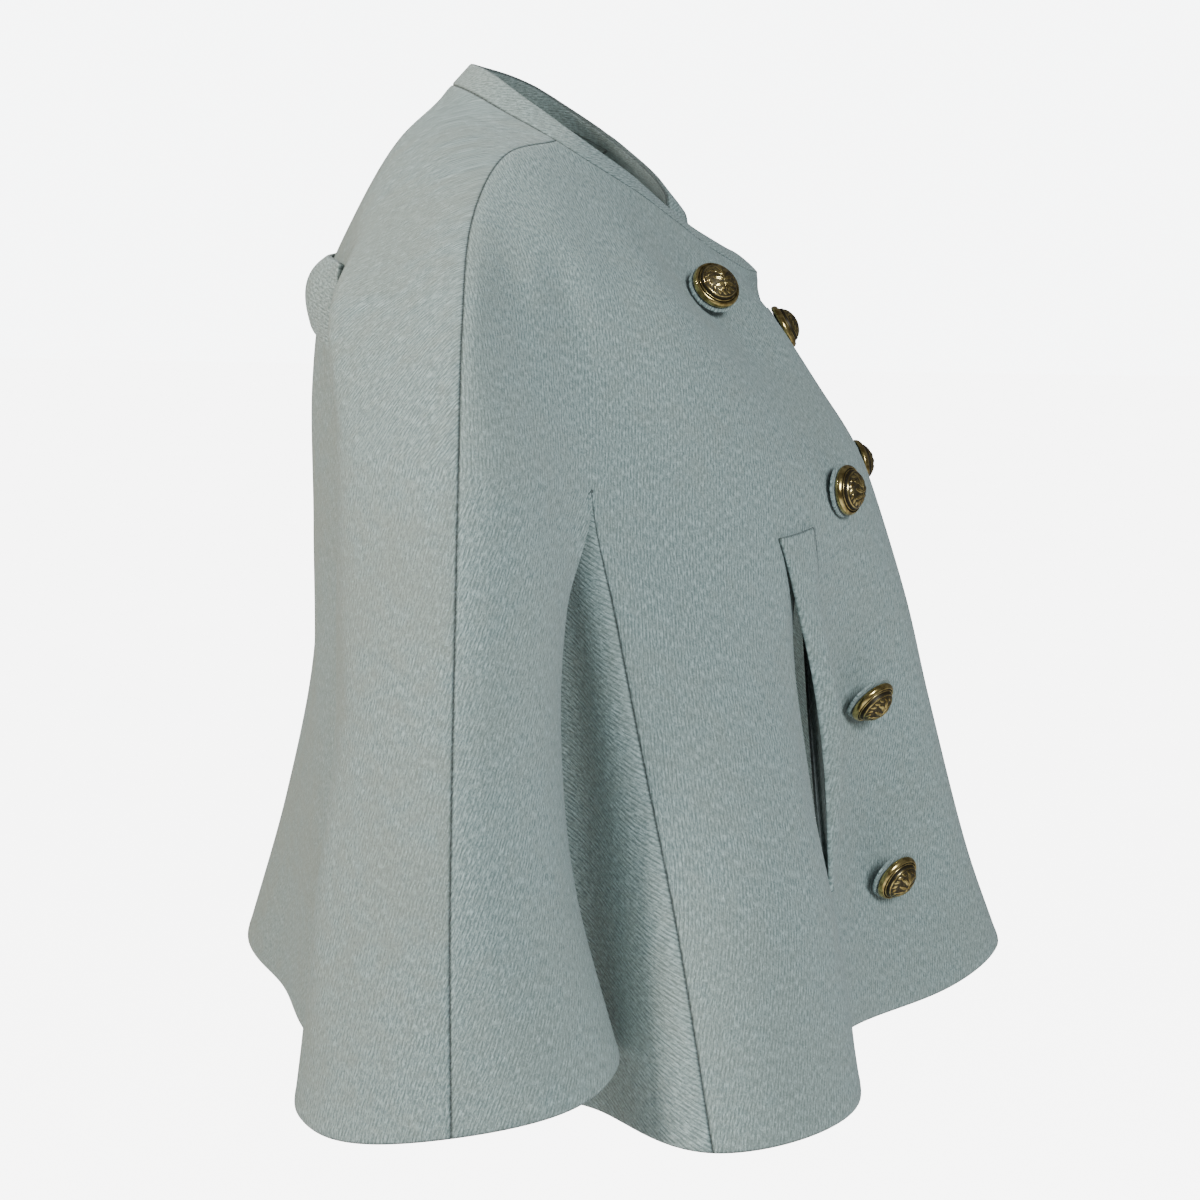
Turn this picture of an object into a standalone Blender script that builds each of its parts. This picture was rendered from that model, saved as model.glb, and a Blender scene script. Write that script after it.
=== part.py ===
"""Double-breasted napoleon jacket with cape sleeves, worn shape, as cut and sewn pieces.

X runs to the wearer's left, the front faces -Y, Z is up. The origin is the middle of the neck
opening, level with the nape. Tables are in millimetres; the meshes are in metres.
"""

import math

import bpy
import numpy as np

MM = 0.001

# Cloth and seams (mm)
WALL = 2.5
BAND_WALL = 3.0
SEAM_GAP = 0.3
LAID_ON_GAP = 0.6
UNDERLAP_GAP = 1.4

# Sections with a row of points, over and under the underarm
UNDERARM, HEM = 4.0, 8.0
SECTIONS_ABOVE = np.linspace(0.0, UNDERARM, 13)
SECTIONS_BELOW = np.linspace(UNDERARM, HEM, 17)

# The garment's lines, from neck to hem (mm): out to the wearer's right, back, up.
# Each row is one section: neck, yoke, shoulder, armhole, underarm, waist, hip, skirt, hem.
CENTRE_FRONT = (
    (0, -59, -103), (0, -97, -141), (0, -131, -190), (0, -151, -221), (0, -164, -253),
    (0, -183, -311), (0, -198, -370), (0, -222, -457), (0, -244, -518),
)
BUTTON_LINE = (
    (19, -54, -97), (55, -68, -133), (62, -101, -172), (64, -126, -207), (64, -147, -245),
    (64, -154, -308), (64, -159, -370), (64, -171, -442), (66, -210, -527),
)
WELT_LINE = (
    (38, -45, -88), (88, -46, -107), (111, -72, -145), (118, -97, -194), (122, -119, -248),
    (128, -128, -307), (134, -137, -368), (142, -148, -440), (148, -160, -524),
)
LOBE_LINE = (
    (55, -34, -78), (107, -20, -85), (138, -39, -124), (155, -61, -181), (165, -80, -240),
    (178, -101, -299), (190, -126, -363), (202, -152, -438), (213, -173, -532),
)
SIDE_FRONT_SEAM = (
    (68, -20, -68), (117, 4, -69), (157, -10, -107), (185, -23, -168), (200, -33, -224),
    (216, -48, -284), (235, -65, -350), (257, -86, -430), (278, -107, -532),
)
SLEEVE_FRONT_FOLD = SIDE_FRONT_SEAM[:5] + (
    (219, -24, -280), (229, -23, -345), (238, -32, -418), (247, -56, -500),
)
SLEEVE_FRONT = (
    (77, -5, -58), (121, 19, -61), (169, 15, -97), (212, 3, -152), (240, -12, -214),
    (258, -18, -278), (272, -19, -350), (284, -25, -425), (294, -44, -506),
)
OVER_ARM_SEAM = (
    (80, 9, -49), (120, 29, -58), (175, 33, -91), (232, 24, -140), (266, 18, -205),
    (288, 15, -276), (302, 14, -350), (314, 13, -428), (324, 11, -513),
)
SLEEVE_BACK = (
    (76, 28, -39), (112, 50, -52), (163, 60, -88), (218, 61, -138), (254, 58, -200),
    (275, 55, -272), (290, 55, -348), (304, 59, -428), (319, 60, -522),
)
SLEEVE_BACK_EDGE = (
    (70, 42, -32), (103, 67, -49), (152, 84, -89), (200, 99, -133), (226, 90, -196),
    (250, 84, -270), (264, 82, -346), (280, 89, -428), (299, 91, -525),
)
BACK_SIDE_SEAM = (
    (60, 56, -25), (88, 84, -47), (134, 102, -89), (168, 103, -129), (179, 94, -184),
    (178, 97, -264), (178, 104, -350), (178, 116, -440), (178, 129, -534),
)
SLEEVE_BACK_FOLD = BACK_SIDE_SEAM[:5] + (
    (218, 88, -264), (232, 88, -342), (249, 93, -426), (268, 104, -522),
)
BLADE_LINE = (
    (42, 71, -19), (62, 101, -46), (94, 119, -88), (112, 131, -128), (120, 135, -182),
    (118, 138, -262), (116, 142, -350), (116, 153, -442), (120, 164, -532),
)
BACK_LINE = (
    (21, 82, -16), (31, 109, -49), (48, 129, -91), (58, 146, -128), (60, 155, -182),
    (60, 158, -262), (59, 161, -350), (61, 179, -440), (66, 202, -534),
)
CENTRE_BACK = (
    (0, 86, -15), (0, 110, -50), (0, 134, -92), (0, 156, -128), (0, 170, -182),
    (0, 173, -262), (0, 177, -350), (0, 197, -442), (0, 226, -535),
)

# Under the arm (mm), from the underarm seam down the body's side and down the sleeve's inside.
# Each row is one section: underarm, waist, hip, skirt, hem.
SIDE_LINES = (
    ((189, -4, -213), (196, -17, -280), (204, -26, -350), (214, -34, -434), (224, -41, -541)),
    ((184, 34, -203), (185, 29, -275), (189, 25, -350), (196, 19, -438), (205, 14, -545)),
    ((180, 70, -193), (178, 70, -270), (180, 74, -350), (185, 78, -440), (190, 80, -542)),
)
INNER_LINES = (
    ((189, -4, -213), (203, -8, -272), (212, -5, -345), (222, -12, -420), (231, -30, -503)),
    ((184, 34, -203), (198, 34, -268), (206, 34, -345), (213, 33, -425), (222, 27, -512)),
    ((180, 70, -193), (199, 67, -265), (209, 68, -343), (219, 72, -426), (234, 75, -519)),
)

# Places of the lines round the garment, from the centre front
AT_BUTTONS, AT_SLIT, AT_SIDE_FRONT, AT_OVER_ARM, AT_BACK_SIDE, AT_CENTRE_BACK = 1, 1.75, 4, 6, 9, 12
BODY_BACK_SIDE, SLEEVE_ROUND, UNDER_MIDDLE, UNDER_BACK = 8, 9, 2, 4
COLUMNS = {
    "overlap": 4, "to buttons": 3, "to slit": 2, "to side seam": 6, "sleeve front": 4, "sleeve back": 7,
    "back": 9, "under": 4,
}

# The fronts' free edge: section, places past the centre front
FREE_EDGE = ((0.0, 1.20), (0.4, 1.32), (1.0, 1.38), (2.0, 1.42), (4.0, 1.38), (7.6, 1.31), (8.0, 1.12))
# Past the centre front the neck edge runs on down by so many sections
NECK_DROP = 0.85
# The free corner stands away from the body (mm), fading out at this section, by this power of the
# share of the overlap
CORNER_LIFT, CORNER_END, CORNER_POWER = 37.0, 3.4, 2.5
# Places past the free edge where the front beneath comes out from under it
UNDERLAP_FADE = 0.9

# Neck band (mm): place round the neck, and how its width runs: in towards the neck, up
BAND_WIDTH = 16.5
BAND_LEAN = ((0.0, 0.66, 0.75), (2.5, 0.74, 0.67), (6.0, 0.86, 0.51), (9.0, 0.70, 0.71), (12.0, 0.70, 0.74))
BAND_ROWS = 1

# Pocket slit and welt: sections and places of the ends, sizes in mm
SLIT_TOP, SLIT_BOTTOM = 4.25, 7.0
SLIT_HALF_WIDTH = 1.8
# The panel behind the slit is drawn in, so that the pocket's mouth stands open
MOUTH_SINK = 7.0
WELT_TOP, WELT_BOTTOM = 4.13, 7.12
WELT_SEAM_TOP, WELT_SEAM_BOTTOM = 1.56, 1.63
WELT_WIDTH_TOP, WELT_WIDTH_BOTTOM = 34.0, 14.0
WELT_WALL = 3.0
WELT_BOW, WELT_PUFF, WELT_BOW_PLACE, WELT_PUFF_PLACE = 5.0, 10.0, 1.3, 0.75
WELT_ROWS, WELT_COLUMNS = 16, 5

# Back belt: place of its ends, sections of its edges and how far they drop at the ends, sizes in mm
BELT_END = 9.2
BELT_TOP, BELT_BOTTOM = 2.57, 3.22
BELT_TOP_DROP, BELT_BOTTOM_DROP = 0.08, 0.52
BELT_WALL = 3.0
BELT_PUFF = 7.5
BELT_ROWS, BELT_COLUMNS = 5, 20

# Buttons: name, section, place, droop and swing towards the wearer's right (degrees)
BUTTONS = (
    ("r1", 1.07, 1.07, 14.0, 24.0), ("r2", 3.87, 1.0, 12.0, 0.0),
    ("r3", 5.73, 1.04, 40.0, 5.0), ("r4", 7.18, 1.09, 42.0, 4.0),
    ("l1", 1.45, -1.0, 6.0, 0.0), ("l2", 3.92, -1.12, 8.0, 0.0),
    ("l3", 5.73, -1.04, 34.0, -6.0), ("l4", 7.18, -1.06, 38.0, -3.0),
)
# A button's half outline (mm): radius, height over the cloth
BUTTON_PROFILE = (
    (0.0, 11.6), (4.0, 10.96), (7.6, 9.12), (10.2, 6.58), (11.4, 4.7), (12.0, 4.2), (13.0, 4.3), (13.9, 3.3),
    (14.0, 1.7), (13.2, 0.7), (3.0, 0.6), (2.6, -0.6),
)
BUTTON_SIDES = 20
BACKING_RADIUS = 14.8
BACKING_WALL = 2.2
BACKING_GAP = 0.75
# The share of a button's tilt that its backing takes
BACKING_TILT = 0.35
# How far sideways a button's points look for the backing under them (mm)
UNDER_REACH = 5.0
BACKING_RINGS, BACKING_SIDES = 2, 20

# Colours
CLOTH = (0.33, 0.37, 0.355, 1.0)
CLOTH_ROUGHNESS = 0.95
BRASS = (0.42, 0.31, 0.13, 1.0)
BRASS_ROUGHNESS = 0.35

LEFT = np.array((-1.0, 1.0, 1.0))


# ---------------------------------------------------------------- curves

def in_row_frame(line):
    """A line's rows as points: out to the wearer's right is -X."""
    return np.array(line, float) * (-1.0, 1.0, 1.0)


def natural_spline(values, at):
    """The natural cubic through values placed at 0, 1, 2..., read at the places in at."""
    count = len(values)
    matrix = np.eye(count)
    right = np.zeros_like(values)
    for i in range(1, count - 1):
        matrix[i, i - 1:i + 2] = 1.0, 4.0, 1.0
        right[i] = 6.0 * (values[i - 1] - 2.0 * values[i] + values[i + 1])
    bend = np.linalg.solve(matrix, right)
    low = np.clip(np.floor(at).astype(int), 0, count - 2)
    b = (at - low)[:, None]
    a = 1.0 - b
    return (a * values[low] + b * values[low + 1]
            + ((a ** 3 - a) * bend[low] + (b ** 3 - b) * bend[low + 1]) / 6.0)


def tangents(points):
    """Catmull-Rom tangents, one-sided at the ends."""
    inner = (points[2:] - points[:-2]) / 2.0
    return np.concatenate([points[1:2] - points[:1], inner, points[-1:] - points[-2:-1]])


def hermite(points, slopes, place):
    """The cubic through points with these slopes, read at one place."""
    low = min(int(place), len(points) - 2)
    t = place - low
    return ((2 * t ** 3 - 3 * t ** 2 + 1) * points[low] + (t ** 3 - 2 * t ** 2 + t) * slopes[low]
            + (3 * t ** 2 - 2 * t ** 3) * points[low + 1] + (t ** 3 - t ** 2) * slopes[low + 1])


def smooth(t):
    """A step from 0 to 1 with level ends."""
    t = np.clip(t, 0.0, 1.0)
    return t * t * (3.0 - 2.0 * t)


# ---------------------------------------------------------------- the garment's form

class Column:
    """One line from neck to hem, read at any section."""

    def __init__(self, line, twin=None):
        self.points = in_row_frame(line)
        self.slopes = tangents(self.points)
        if twin is not None:
            fork = int(UNDERARM)
            self.slopes[fork] = (self.slopes[fork] + tangents(in_row_frame(twin))[fork]) / 2.0

    def at(self, section):
        return hermite(self.points, self.slopes, section)


class UnderColumn:
    """A line under the arm: up the body's side, over the underarm seam, down inside the sleeve."""

    def __init__(self, side, inner):
        self.points = in_row_frame(side[::-1] + inner[1:])
        self.slopes = tangents(self.points)

    def at(self, section, on_sleeve):
        below = section - UNDERARM
        return hermite(self.points, self.slopes, UNDERARM + below if on_sleeve else UNDERARM - below)


FRONT = [Column(line) for line in (CENTRE_FRONT, BUTTON_LINE, WELT_LINE, LOBE_LINE)]
SEAM_FRONT = Column(SIDE_FRONT_SEAM, SLEEVE_FRONT_FOLD)
FOLD_FRONT = Column(SLEEVE_FRONT_FOLD, SIDE_FRONT_SEAM)
SLEEVE = [Column(line) for line in (SLEEVE_FRONT, OVER_ARM_SEAM, SLEEVE_BACK, SLEEVE_BACK_EDGE)]
SEAM_BACK = Column(BACK_SIDE_SEAM, SLEEVE_BACK_FOLD)
FOLD_BACK = Column(SLEEVE_BACK_FOLD, BACK_SIDE_SEAM)
BACK = [Column(line) for line in (BLADE_LINE, BACK_LINE, CENTRE_BACK)]
UNDER = [UnderColumn(side, inner) for side, inner in zip(SIDE_LINES, INNER_LINES)]


def closed_at_centres(stations):
    """Stations from centre front to centre back, carried on past both by their mirror images."""
    stations = np.array(stations)
    return np.concatenate([stations[4:0:-1] * LEFT, stations, stations[-2:-5:-1] * LEFT])


def whole_round(section, places, on_sleeve):
    """Points round the sheet above the underarm, with the sleeve's outside in it."""
    edge_front, edge_back = (FOLD_FRONT, FOLD_BACK) if on_sleeve else (SEAM_FRONT, SEAM_BACK)
    columns = FRONT + [edge_front] + SLEEVE + [edge_back] + BACK
    return natural_spline(closed_at_centres([c.at(section) for c in columns]), places + 4)


def body_round(section, places):
    """Points round the body below the underarm."""
    stations = [c.at(section) for c in FRONT + [SEAM_FRONT]]
    stations += [c.at(section, False) for c in UNDER]
    stations += [c.at(section) for c in [SEAM_BACK] + BACK]
    return natural_spline(closed_at_centres(stations), places + 4)


def sleeve_round(section, places):
    """Points round the sleeve below the underarm, from its front fold over the outside."""
    stations = [c.at(section) for c in [FOLD_FRONT] + SLEEVE + [FOLD_BACK]]
    stations += [c.at(section, True) for c in reversed(UNDER)]
    stations = np.array(stations + stations[:1])
    loop = np.concatenate([stations[-4:-1], stations, stations[1:4]])
    return natural_spline(loop, places + 3)


def under_round(section, places, on_sleeve):
    """Points across the underarm only, from its front end to its back end."""
    ends = (FOLD_FRONT, FOLD_BACK) if on_sleeve else (SEAM_FRONT, SEAM_BACK)
    stations = [ends[0].at(section)] + [c.at(section, on_sleeve) for c in UNDER] + [ends[1].at(section)]
    return natural_spline(np.array(stations), places)


def mixed(section, near, far):
    """Near the underarm the sheets follow the section above, a section lower their own."""
    share = smooth(section - UNDERARM)
    return near * (1.0 - share) + far * share


def front_or_back(section, places):
    """Points on the fronts and backs, places counted as in the whole round."""
    if section <= UNDERARM:
        return whole_round(section, places, False)
    past_sleeve = places > AT_SIDE_FRONT
    body_places = np.where(past_sleeve, places - AT_BACK_SIDE + BODY_BACK_SIDE, places)
    return mixed(section, whole_round(section, places, False), body_round(section, body_places))


def free_edge(section):
    """How many places past the centre front a front's free edge lies."""
    return np.interp(section, *np.array(FREE_EDGE).T)


def overlap_point(section, place, is_lifted):
    """A point of a front past its centre: the upper front's free corner is lifted."""
    point = front_or_back(section, np.array([place]))[0]
    if not is_lifted:
        return point
    share = -place / free_edge(section)
    fade = max(0.0, CORNER_END - section) / (CORNER_END - NECK_DROP)
    return point - (0.0, CORNER_LIFT * share ** CORNER_POWER * fade ** 3, 0.0)


def front_row(section, places, is_lifted):
    """One row of a front, its neck edge run on down past the centre front."""
    row = front_or_back(section, places)
    for i in np.flatnonzero(places < 0):
        share = -places[i] / free_edge(section)
        lower = section + NECK_DROP * share * max(0.0, 1.0 - section / UNDERARM) ** 2
        row[i] = overlap_point(lower, places[i], is_lifted)
    return row


def sleeve_outside(section, places):
    if section <= UNDERARM:
        return whole_round(section, places, True)
    return mixed(section, whole_round(section, places, True),
                 sleeve_round(section, places - AT_SIDE_FRONT))


def sleeve_inside(section, places):
    """Places run from 0 at the front fold to 4 at the back fold."""
    return mixed(section, under_round(section, places, True), sleeve_round(section, SLEEVE_ROUND - places))


def side_panel(section, places):
    return mixed(section, under_round(section, places, False),
                 body_round(section, places + AT_SIDE_FRONT))


def grid(surface, sections, places, **options):
    """A grid of points: a row for each section, places the same for all rows or one row each."""
    places = np.broadcast_to(places, (len(sections), np.shape(places)[-1]))
    return np.array([surface(s, p, **options) for s, p in zip(sections, places)])


class Panel:
    """A sheet as it is built, its facets and its depth read at any section and place."""

    def __init__(self, sections, places, points):
        self.sections = sections
        self.places = np.broadcast_to(places, points.shape[:2])
        self.points = points

    def read(self, section, place):
        row = int(np.clip(np.searchsorted(self.sections, section) - 1, 0, len(self.sections) - 2))
        share = (section - self.sections[row]) / (self.sections[row + 1] - self.sections[row])
        upper, lower = (np.array([np.interp(place, self.places[r], axis) for axis in self.points[r].T])
                        for r in (row, row + 1))
        return upper * (1.0 - share) + lower * share

    def at(self, section, place):
        return self.read(section, place)[:3]

    def depth(self, section, place):
        return self.read(section, place)[3]

    def frame_at(self, section, place):
        """A point, its two directions and its outward normal, taken over a button's width."""
        step = 0.15
        across = (self.at(section, place + step) - self.at(section, place - step)) / (2.0 * step)
        down = (self.at(section + step, place) - self.at(section - step, place)) / (2.0 * step)
        normal = np.cross(across, down)
        return self.at(section, place), across, down, normal / np.linalg.norm(normal)


# ---------------------------------------------------------------- meshes

def object_of(name, points, faces, material):
    """An object in the scene from points in millimetres."""
    mesh = bpy.data.meshes.new(name)
    mesh.from_pydata((np.asarray(points) * MM).tolist(), [], [list(map(int, f)) for f in faces])
    mesh.update()
    mesh.materials.append(material)
    mesh.shade_smooth()
    mesh.set_sharp_from_angle(angle=math.radians(50.0))
    made = bpy.data.objects.new(name, mesh)
    bpy.context.scene.collection.objects.link(made)
    return made


def material_of(name, colour, roughness, metallic):
    made = bpy.data.materials.new(name)
    made.use_nodes = True
    shader = made.node_tree.nodes["Principled BSDF"]
    shader.inputs["Base Color"].default_value = colour
    shader.inputs["Roughness"].default_value = roughness
    shader.inputs["Metallic"].default_value = metallic
    made.diffuse_color = colour
    return made


def quads_of(points, flip):
    """The grid's quads as an array of corner points, facing out where flip is right."""
    corners = np.stack([points[:-1, :-1], points[:-1, 1:], points[1:, 1:], points[1:, :-1]], axis=2)
    corners = corners.reshape(-1, 4, points.shape[-1])
    return corners if flip else corners[:, ::-1]


def welded(corners):
    """Corner points made one where their places meet: points, and faces that index them."""
    flat = corners.reshape(-1, corners.shape[-1])
    keys = np.round(flat[:, :3] * 1000.0).astype(np.int64)
    _, first, index = np.unique(keys, axis=0, return_index=True, return_inverse=True)
    return flat[first], index.reshape(-1, 4)


def normals_of(points, faces):
    """Unit normals at the points, each the sum of its faces' normals."""
    p = points[faces]
    across = np.cross(p[:, 2] - p[:, 0], p[:, 3] - p[:, 1])
    total = np.zeros_like(points)
    for corner in range(4):
        np.add.at(total, faces[:, corner], across)
    return total / np.linalg.norm(total, axis=1, keepdims=True)


def rim_edges(faces):
    """The edges that one face alone has, in that face's direction."""
    edges = np.concatenate([faces[:, [i, (i + 1) % 4]] for i in range(4)])
    keys = {(a, b) for a, b in edges.tolist()}
    return [(a, b) for a, b in edges.tolist() if (b, a) not in keys]


def thick_wall(points, normals, faces, wall, gap=SEAM_GAP):
    """A closed wall inside an outer sheet, each rim drawn back by half the seam gap.

    The rims' corners join the same way whichever of two sewn pieces they are on.
    """
    rim = rim_edges(faces)
    inward = np.zeros_like(points)
    for a, b in rim:
        along = points[b] - points[a]
        side = np.cross(normals[a] + normals[b], along)
        side /= np.linalg.norm(side)
        inward[a] += side
        inward[b] += side
    length = np.linalg.norm(inward, axis=1, keepdims=True)
    on_rim = length[:, 0] > 0
    outer = points.copy()
    outer[on_rim] += inward[on_rim] / length[on_rim] * gap / 2.0
    inner = outer - normals * wall
    count = len(points)
    solid = [list(f) for f in faces]
    solid += [[i + count for i in reversed(f)] for f in faces.tolist()]
    for a, b in rim:
        if tuple(points[a]) < tuple(points[b]):
            solid += [[b, a, b + count], [a, a + count, b + count]]
        else:
            solid += [[b, a, a + count], [b, a + count, b + count]]
    return np.concatenate([outer, inner]), solid


# ---------------------------------------------------------------- shells

def places_between(*stops):
    """Places from stop to stop: (first, (last, count), (last, count)...)."""
    made = [np.array([stops[0]], float)]
    start = stops[0]
    for last, count in stops[1:]:
        made.append(np.linspace(start, last, count + 1)[1:])
        start = last
    return np.concatenate(made)


def front_places(sections):
    """Places from the free edge to the side front seam, a row for each section."""
    overlap = -free_edge(sections)[:, None] * np.linspace(1.0, 0.0, COLUMNS["overlap"] + 1)[:-1]
    rest = places_between(0, (AT_BUTTONS, COLUMNS["to buttons"]), (AT_SLIT, COLUMNS["to slit"]),
                          (AT_SIDE_FRONT, COLUMNS["to side seam"]))
    return np.concatenate([overlap, np.broadcast_to(rest, (len(sections), len(rest)))], axis=1)


def back_places():
    return places_between(AT_BACK_SIDE, (AT_CENTRE_BACK, COLUMNS["back"]))


def all_sections():
    return np.append(SECTIONS_ABOVE, SECTIONS_BELOW[1:])


def tuck_depths(sections, places):
    """How far in the front beneath lies, a depth for each place."""
    past = (places - free_edge(sections)[:, None]) / UNDERLAP_FADE
    return (WALL + UNDERLAP_GAP) * (1.0 - smooth(past - 0.08))


def with_slit(points, sections):
    """The front's grid in two parts, their edges drawn apart along the pocket slit."""
    column = COLUMNS["overlap"] + COLUMNS["to buttons"] + COLUMNS["to slit"]
    span = np.clip((sections - SLIT_TOP) / (SLIT_BOTTOM - SLIT_TOP), 0.0, 1.0)
    open_by = (SLIT_HALF_WIDTH * np.sin(np.pi * span).round(6))[:, None]
    front, rear = points[:, :column + 1].copy(), points[:, column:].copy()
    for part, edge, beside in ((front, -1, -2), (rear, 0, 1)):
        way = part[:, beside, :3] - part[:, edge, :3]
        part[:, edge, :3] += way / np.linalg.norm(way, axis=1, keepdims=True) * open_by
    rear[:, 0, 3] += MOUTH_SINK / SLIT_HALF_WIDTH * open_by[:, 0]
    return front, rear


def band_grid(seam, places):
    """The neck band's points above the neck seam's points, its top row first."""
    stops, inward, up = np.array(BAND_LEAN).T
    to_axis = -seam[:, :3] * (1.0, 1.0, 0.0)
    to_axis[places < 0] = (0.0, 1.0, 0.0)
    to_axis /= np.linalg.norm(to_axis, axis=1, keepdims=True)
    where = np.maximum(places, 0.0)
    lean = np.zeros_like(seam)
    lean[:, :3] = to_axis * np.interp(where, stops, inward)[:, None]
    lean[:, 2] += np.interp(where, stops, up)
    return np.array([seam + lean * BAND_WIDTH * share for share in np.linspace(1.0, 0.0, BAND_ROWS + 1)])


def with_depth(points, depths=0.0):
    """Points with the depth that each is to be drawn in by."""
    return np.concatenate([points, np.broadcast_to(depths, points.shape[:-1])[..., None]], axis=-1)


def front_panel(is_upper):
    """The upper or the lower front, on the right, down to the hem."""
    sections = all_sections()
    places = front_places(sections)
    points = grid(front_row, sections, places, is_lifted=is_upper)
    return Panel(sections, places, with_depth(points, 0.0 if is_upper else tuck_depths(sections, places)))


def half_shell(is_upper):
    """One half's sheets, laid out on the right: piece name, grid with depths, facing."""
    above, below = SECTIONS_ABOVE, SECTIONS_BELOW
    sleeve_front = places_between(AT_SIDE_FRONT, (AT_OVER_ARM, COLUMNS["sleeve front"]))
    sleeve_back = places_between(AT_OVER_ARM, (AT_BACK_SIDE, COLUMNS["sleeve back"]))
    back = back_places()
    under_front = places_between(0, (UNDER_MIDDLE, COLUMNS["under"]))
    under_back = places_between(UNDER_MIDDLE, (UNDER_BACK, COLUMNS["under"]))
    front = front_panel(is_upper).points
    front_above, front_below = front[:len(above)], front[len(above) - 1:]
    front_part, rear_part = with_slit(front_below, below)
    neck_places = np.concatenate([front_places(above)[0], sleeve_front[1:], sleeve_back[1:], back[1:]])
    neck_seam = np.concatenate([front[0], with_depth(whole_round(
        0.0, np.concatenate([sleeve_front[1:], sleeve_back[1:], back[1:]]), False))])
    return [
        ("front", front_above, True),
        ("front", front_part, True),
        ("front", rear_part, True),
        ("front", with_depth(grid(sleeve_outside, above, sleeve_front)), True),
        ("front", with_depth(grid(sleeve_outside, below, sleeve_front)), True),
        ("front", with_depth(grid(sleeve_inside, below, under_front)), False),
        ("back", with_depth(grid(sleeve_inside, below, under_back)), False),
        ("back", with_depth(grid(sleeve_outside, above, sleeve_back)), True),
        ("back", with_depth(grid(sleeve_outside, below, sleeve_back)), True),
        ("back", with_depth(grid(front_or_back, above, back)), True),
        ("back", with_depth(grid(front_or_back, below, back)), True),
        ("side_panel", with_depth(grid(side_panel, below, np.append(under_front, under_back[1:]))), True),
        ("neck_band", band_grid(neck_seam, neck_places), True),
    ]


class Shell:
    """One half of the garment: welded points, the normals they share and each piece's faces."""

    def __init__(self, is_upper):
        corners = []
        piece_of = []
        for piece, points, facing in half_shell(is_upper):
            if not is_upper:
                points = points * (-1.0, 1.0, 1.0, 1.0)
                facing = not facing
            made = quads_of(points, facing)
            corners.append(made)
            piece_of += [piece] * len(made)
        points, self.faces = welded(np.concatenate(corners))
        self.piece_of = np.array(piece_of)
        self.normals = normals_of(points[:, :3], self.faces)
        at_centre_back = (np.abs(points[:, 0]) < 1e-6) & (points[:, 1] > 0)
        self.normals[at_centre_back, 0] = 0.0
        self.normals /= np.linalg.norm(self.normals, axis=1, keepdims=True)
        self.points = points[:, :3] - self.normals * points[:, 3:]

    def piece(self, name):
        """A piece's points, normals and faces."""
        faces = self.faces[self.piece_of == name]
        used, index = np.unique(faces, return_inverse=True)
        return self.points[used], self.normals[used], index.reshape(-1, 4)


def build_cloth(material):
    """The cut pieces, the right front over the left."""
    shells = {"right": Shell(True), "left": Shell(False)}
    bands = []
    for side, shell in shells.items():
        for name in ("front", "back", "side_panel"):
            object_of(f"{name}_{side}", *thick_wall(*shell.piece(name), WALL), material)
        points, normals, faces = shell.piece("neck_band")
        bands.append(np.concatenate([points, normals], axis=1)[faces])
    joined, faces = welded(np.concatenate(bands))
    object_of("neck_band", *thick_wall(joined[:, :3], joined[:, 3:], faces, BAND_WALL), material)


# ---------------------------------------------------------------- pieces laid on the panels

def laid_on(name, base, lifts, wall, material):
    """A wall over a panel's points, moved out by a grid of lifts."""
    points, faces = welded(quads_of(with_depth(base, lifts), True))
    normals = normals_of(points[:, :3], faces)
    outer = points[:, :3] + normals * (points[:, 3:] + wall)
    object_of(name, *thick_wall(outer, normals, faces, wall), material)


def build_welts(upper, lower, material):
    """The pockets' welts: sewn along the front edge and the ends, the rear edge bowed out."""
    share = np.linspace(0.0, 1.0, WELT_ROWS + 1)
    across = np.linspace(0.0, 1.0, WELT_COLUMNS + 1)
    seam = WELT_SEAM_TOP + (WELT_SEAM_BOTTOM - WELT_SEAM_TOP) * share
    width = WELT_WIDTH_BOTTOM + (WELT_WIDTH_TOP - WELT_WIDTH_BOTTOM) * (1.0 - share) ** 1.5
    sections = WELT_TOP + (WELT_BOTTOM - WELT_TOP) * share
    place_length = np.array([np.linalg.norm(upper.frame_at(s, p)[1]) for s, p in zip(sections, seam)])
    places = seam[:, None] + across * (width / place_length)[:, None]
    base = np.array([[upper.at(s, p) for p in row] for s, row in zip(sections, places)])
    tucked = np.array([[lower.depth(s, p) for p in row] for s, row in zip(sections, places)])
    swell = WELT_BOW * across + WELT_PUFF * np.sin(np.pi * across ** WELT_PUFF_PLACE)
    lifts = LAID_ON_GAP + np.sin(np.pi * share ** WELT_BOW_PLACE)[:, None] * swell
    laid_on("welt_right", base, lifts, WELT_WALL, material)
    laid_on("welt_left", (base * LEFT)[:, ::-1], (lifts - tucked)[:, ::-1], WELT_WALL, material)


def build_belt(back, material):
    """The half belt, puffed over the back, both ends at the back side seams."""
    across = np.linspace(-1.0, 1.0, BELT_COLUMNS + 1)
    down = np.linspace(0.0, 1.0, BELT_ROWS + 1)[:, None]
    drop = BELT_TOP_DROP + (BELT_BOTTOM_DROP - BELT_TOP_DROP) * down
    sections = BELT_TOP + (BELT_BOTTOM - BELT_TOP) * down + drop * across ** 2
    places = AT_CENTRE_BACK - (AT_CENTRE_BACK - BELT_END) * np.abs(across)
    base = np.array([[back.at(s, p) for s, p in zip(row, places)] for row in sections])
    base[:, across > 0] *= LEFT
    lifts = LAID_ON_GAP + BELT_PUFF * np.sin(np.pi * down) * (1.0 - across ** 4)
    laid_on("back_belt", base, lifts, BELT_WALL, material)


def tilted(seat, droop, swing):
    """The way out of the cloth, turned down by droop and to the side by swing (degrees)."""
    side, below, normal = seat
    axis = normal + below * math.tan(math.radians(droop)) + side * math.tan(math.radians(swing))
    return axis / np.linalg.norm(axis)


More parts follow.
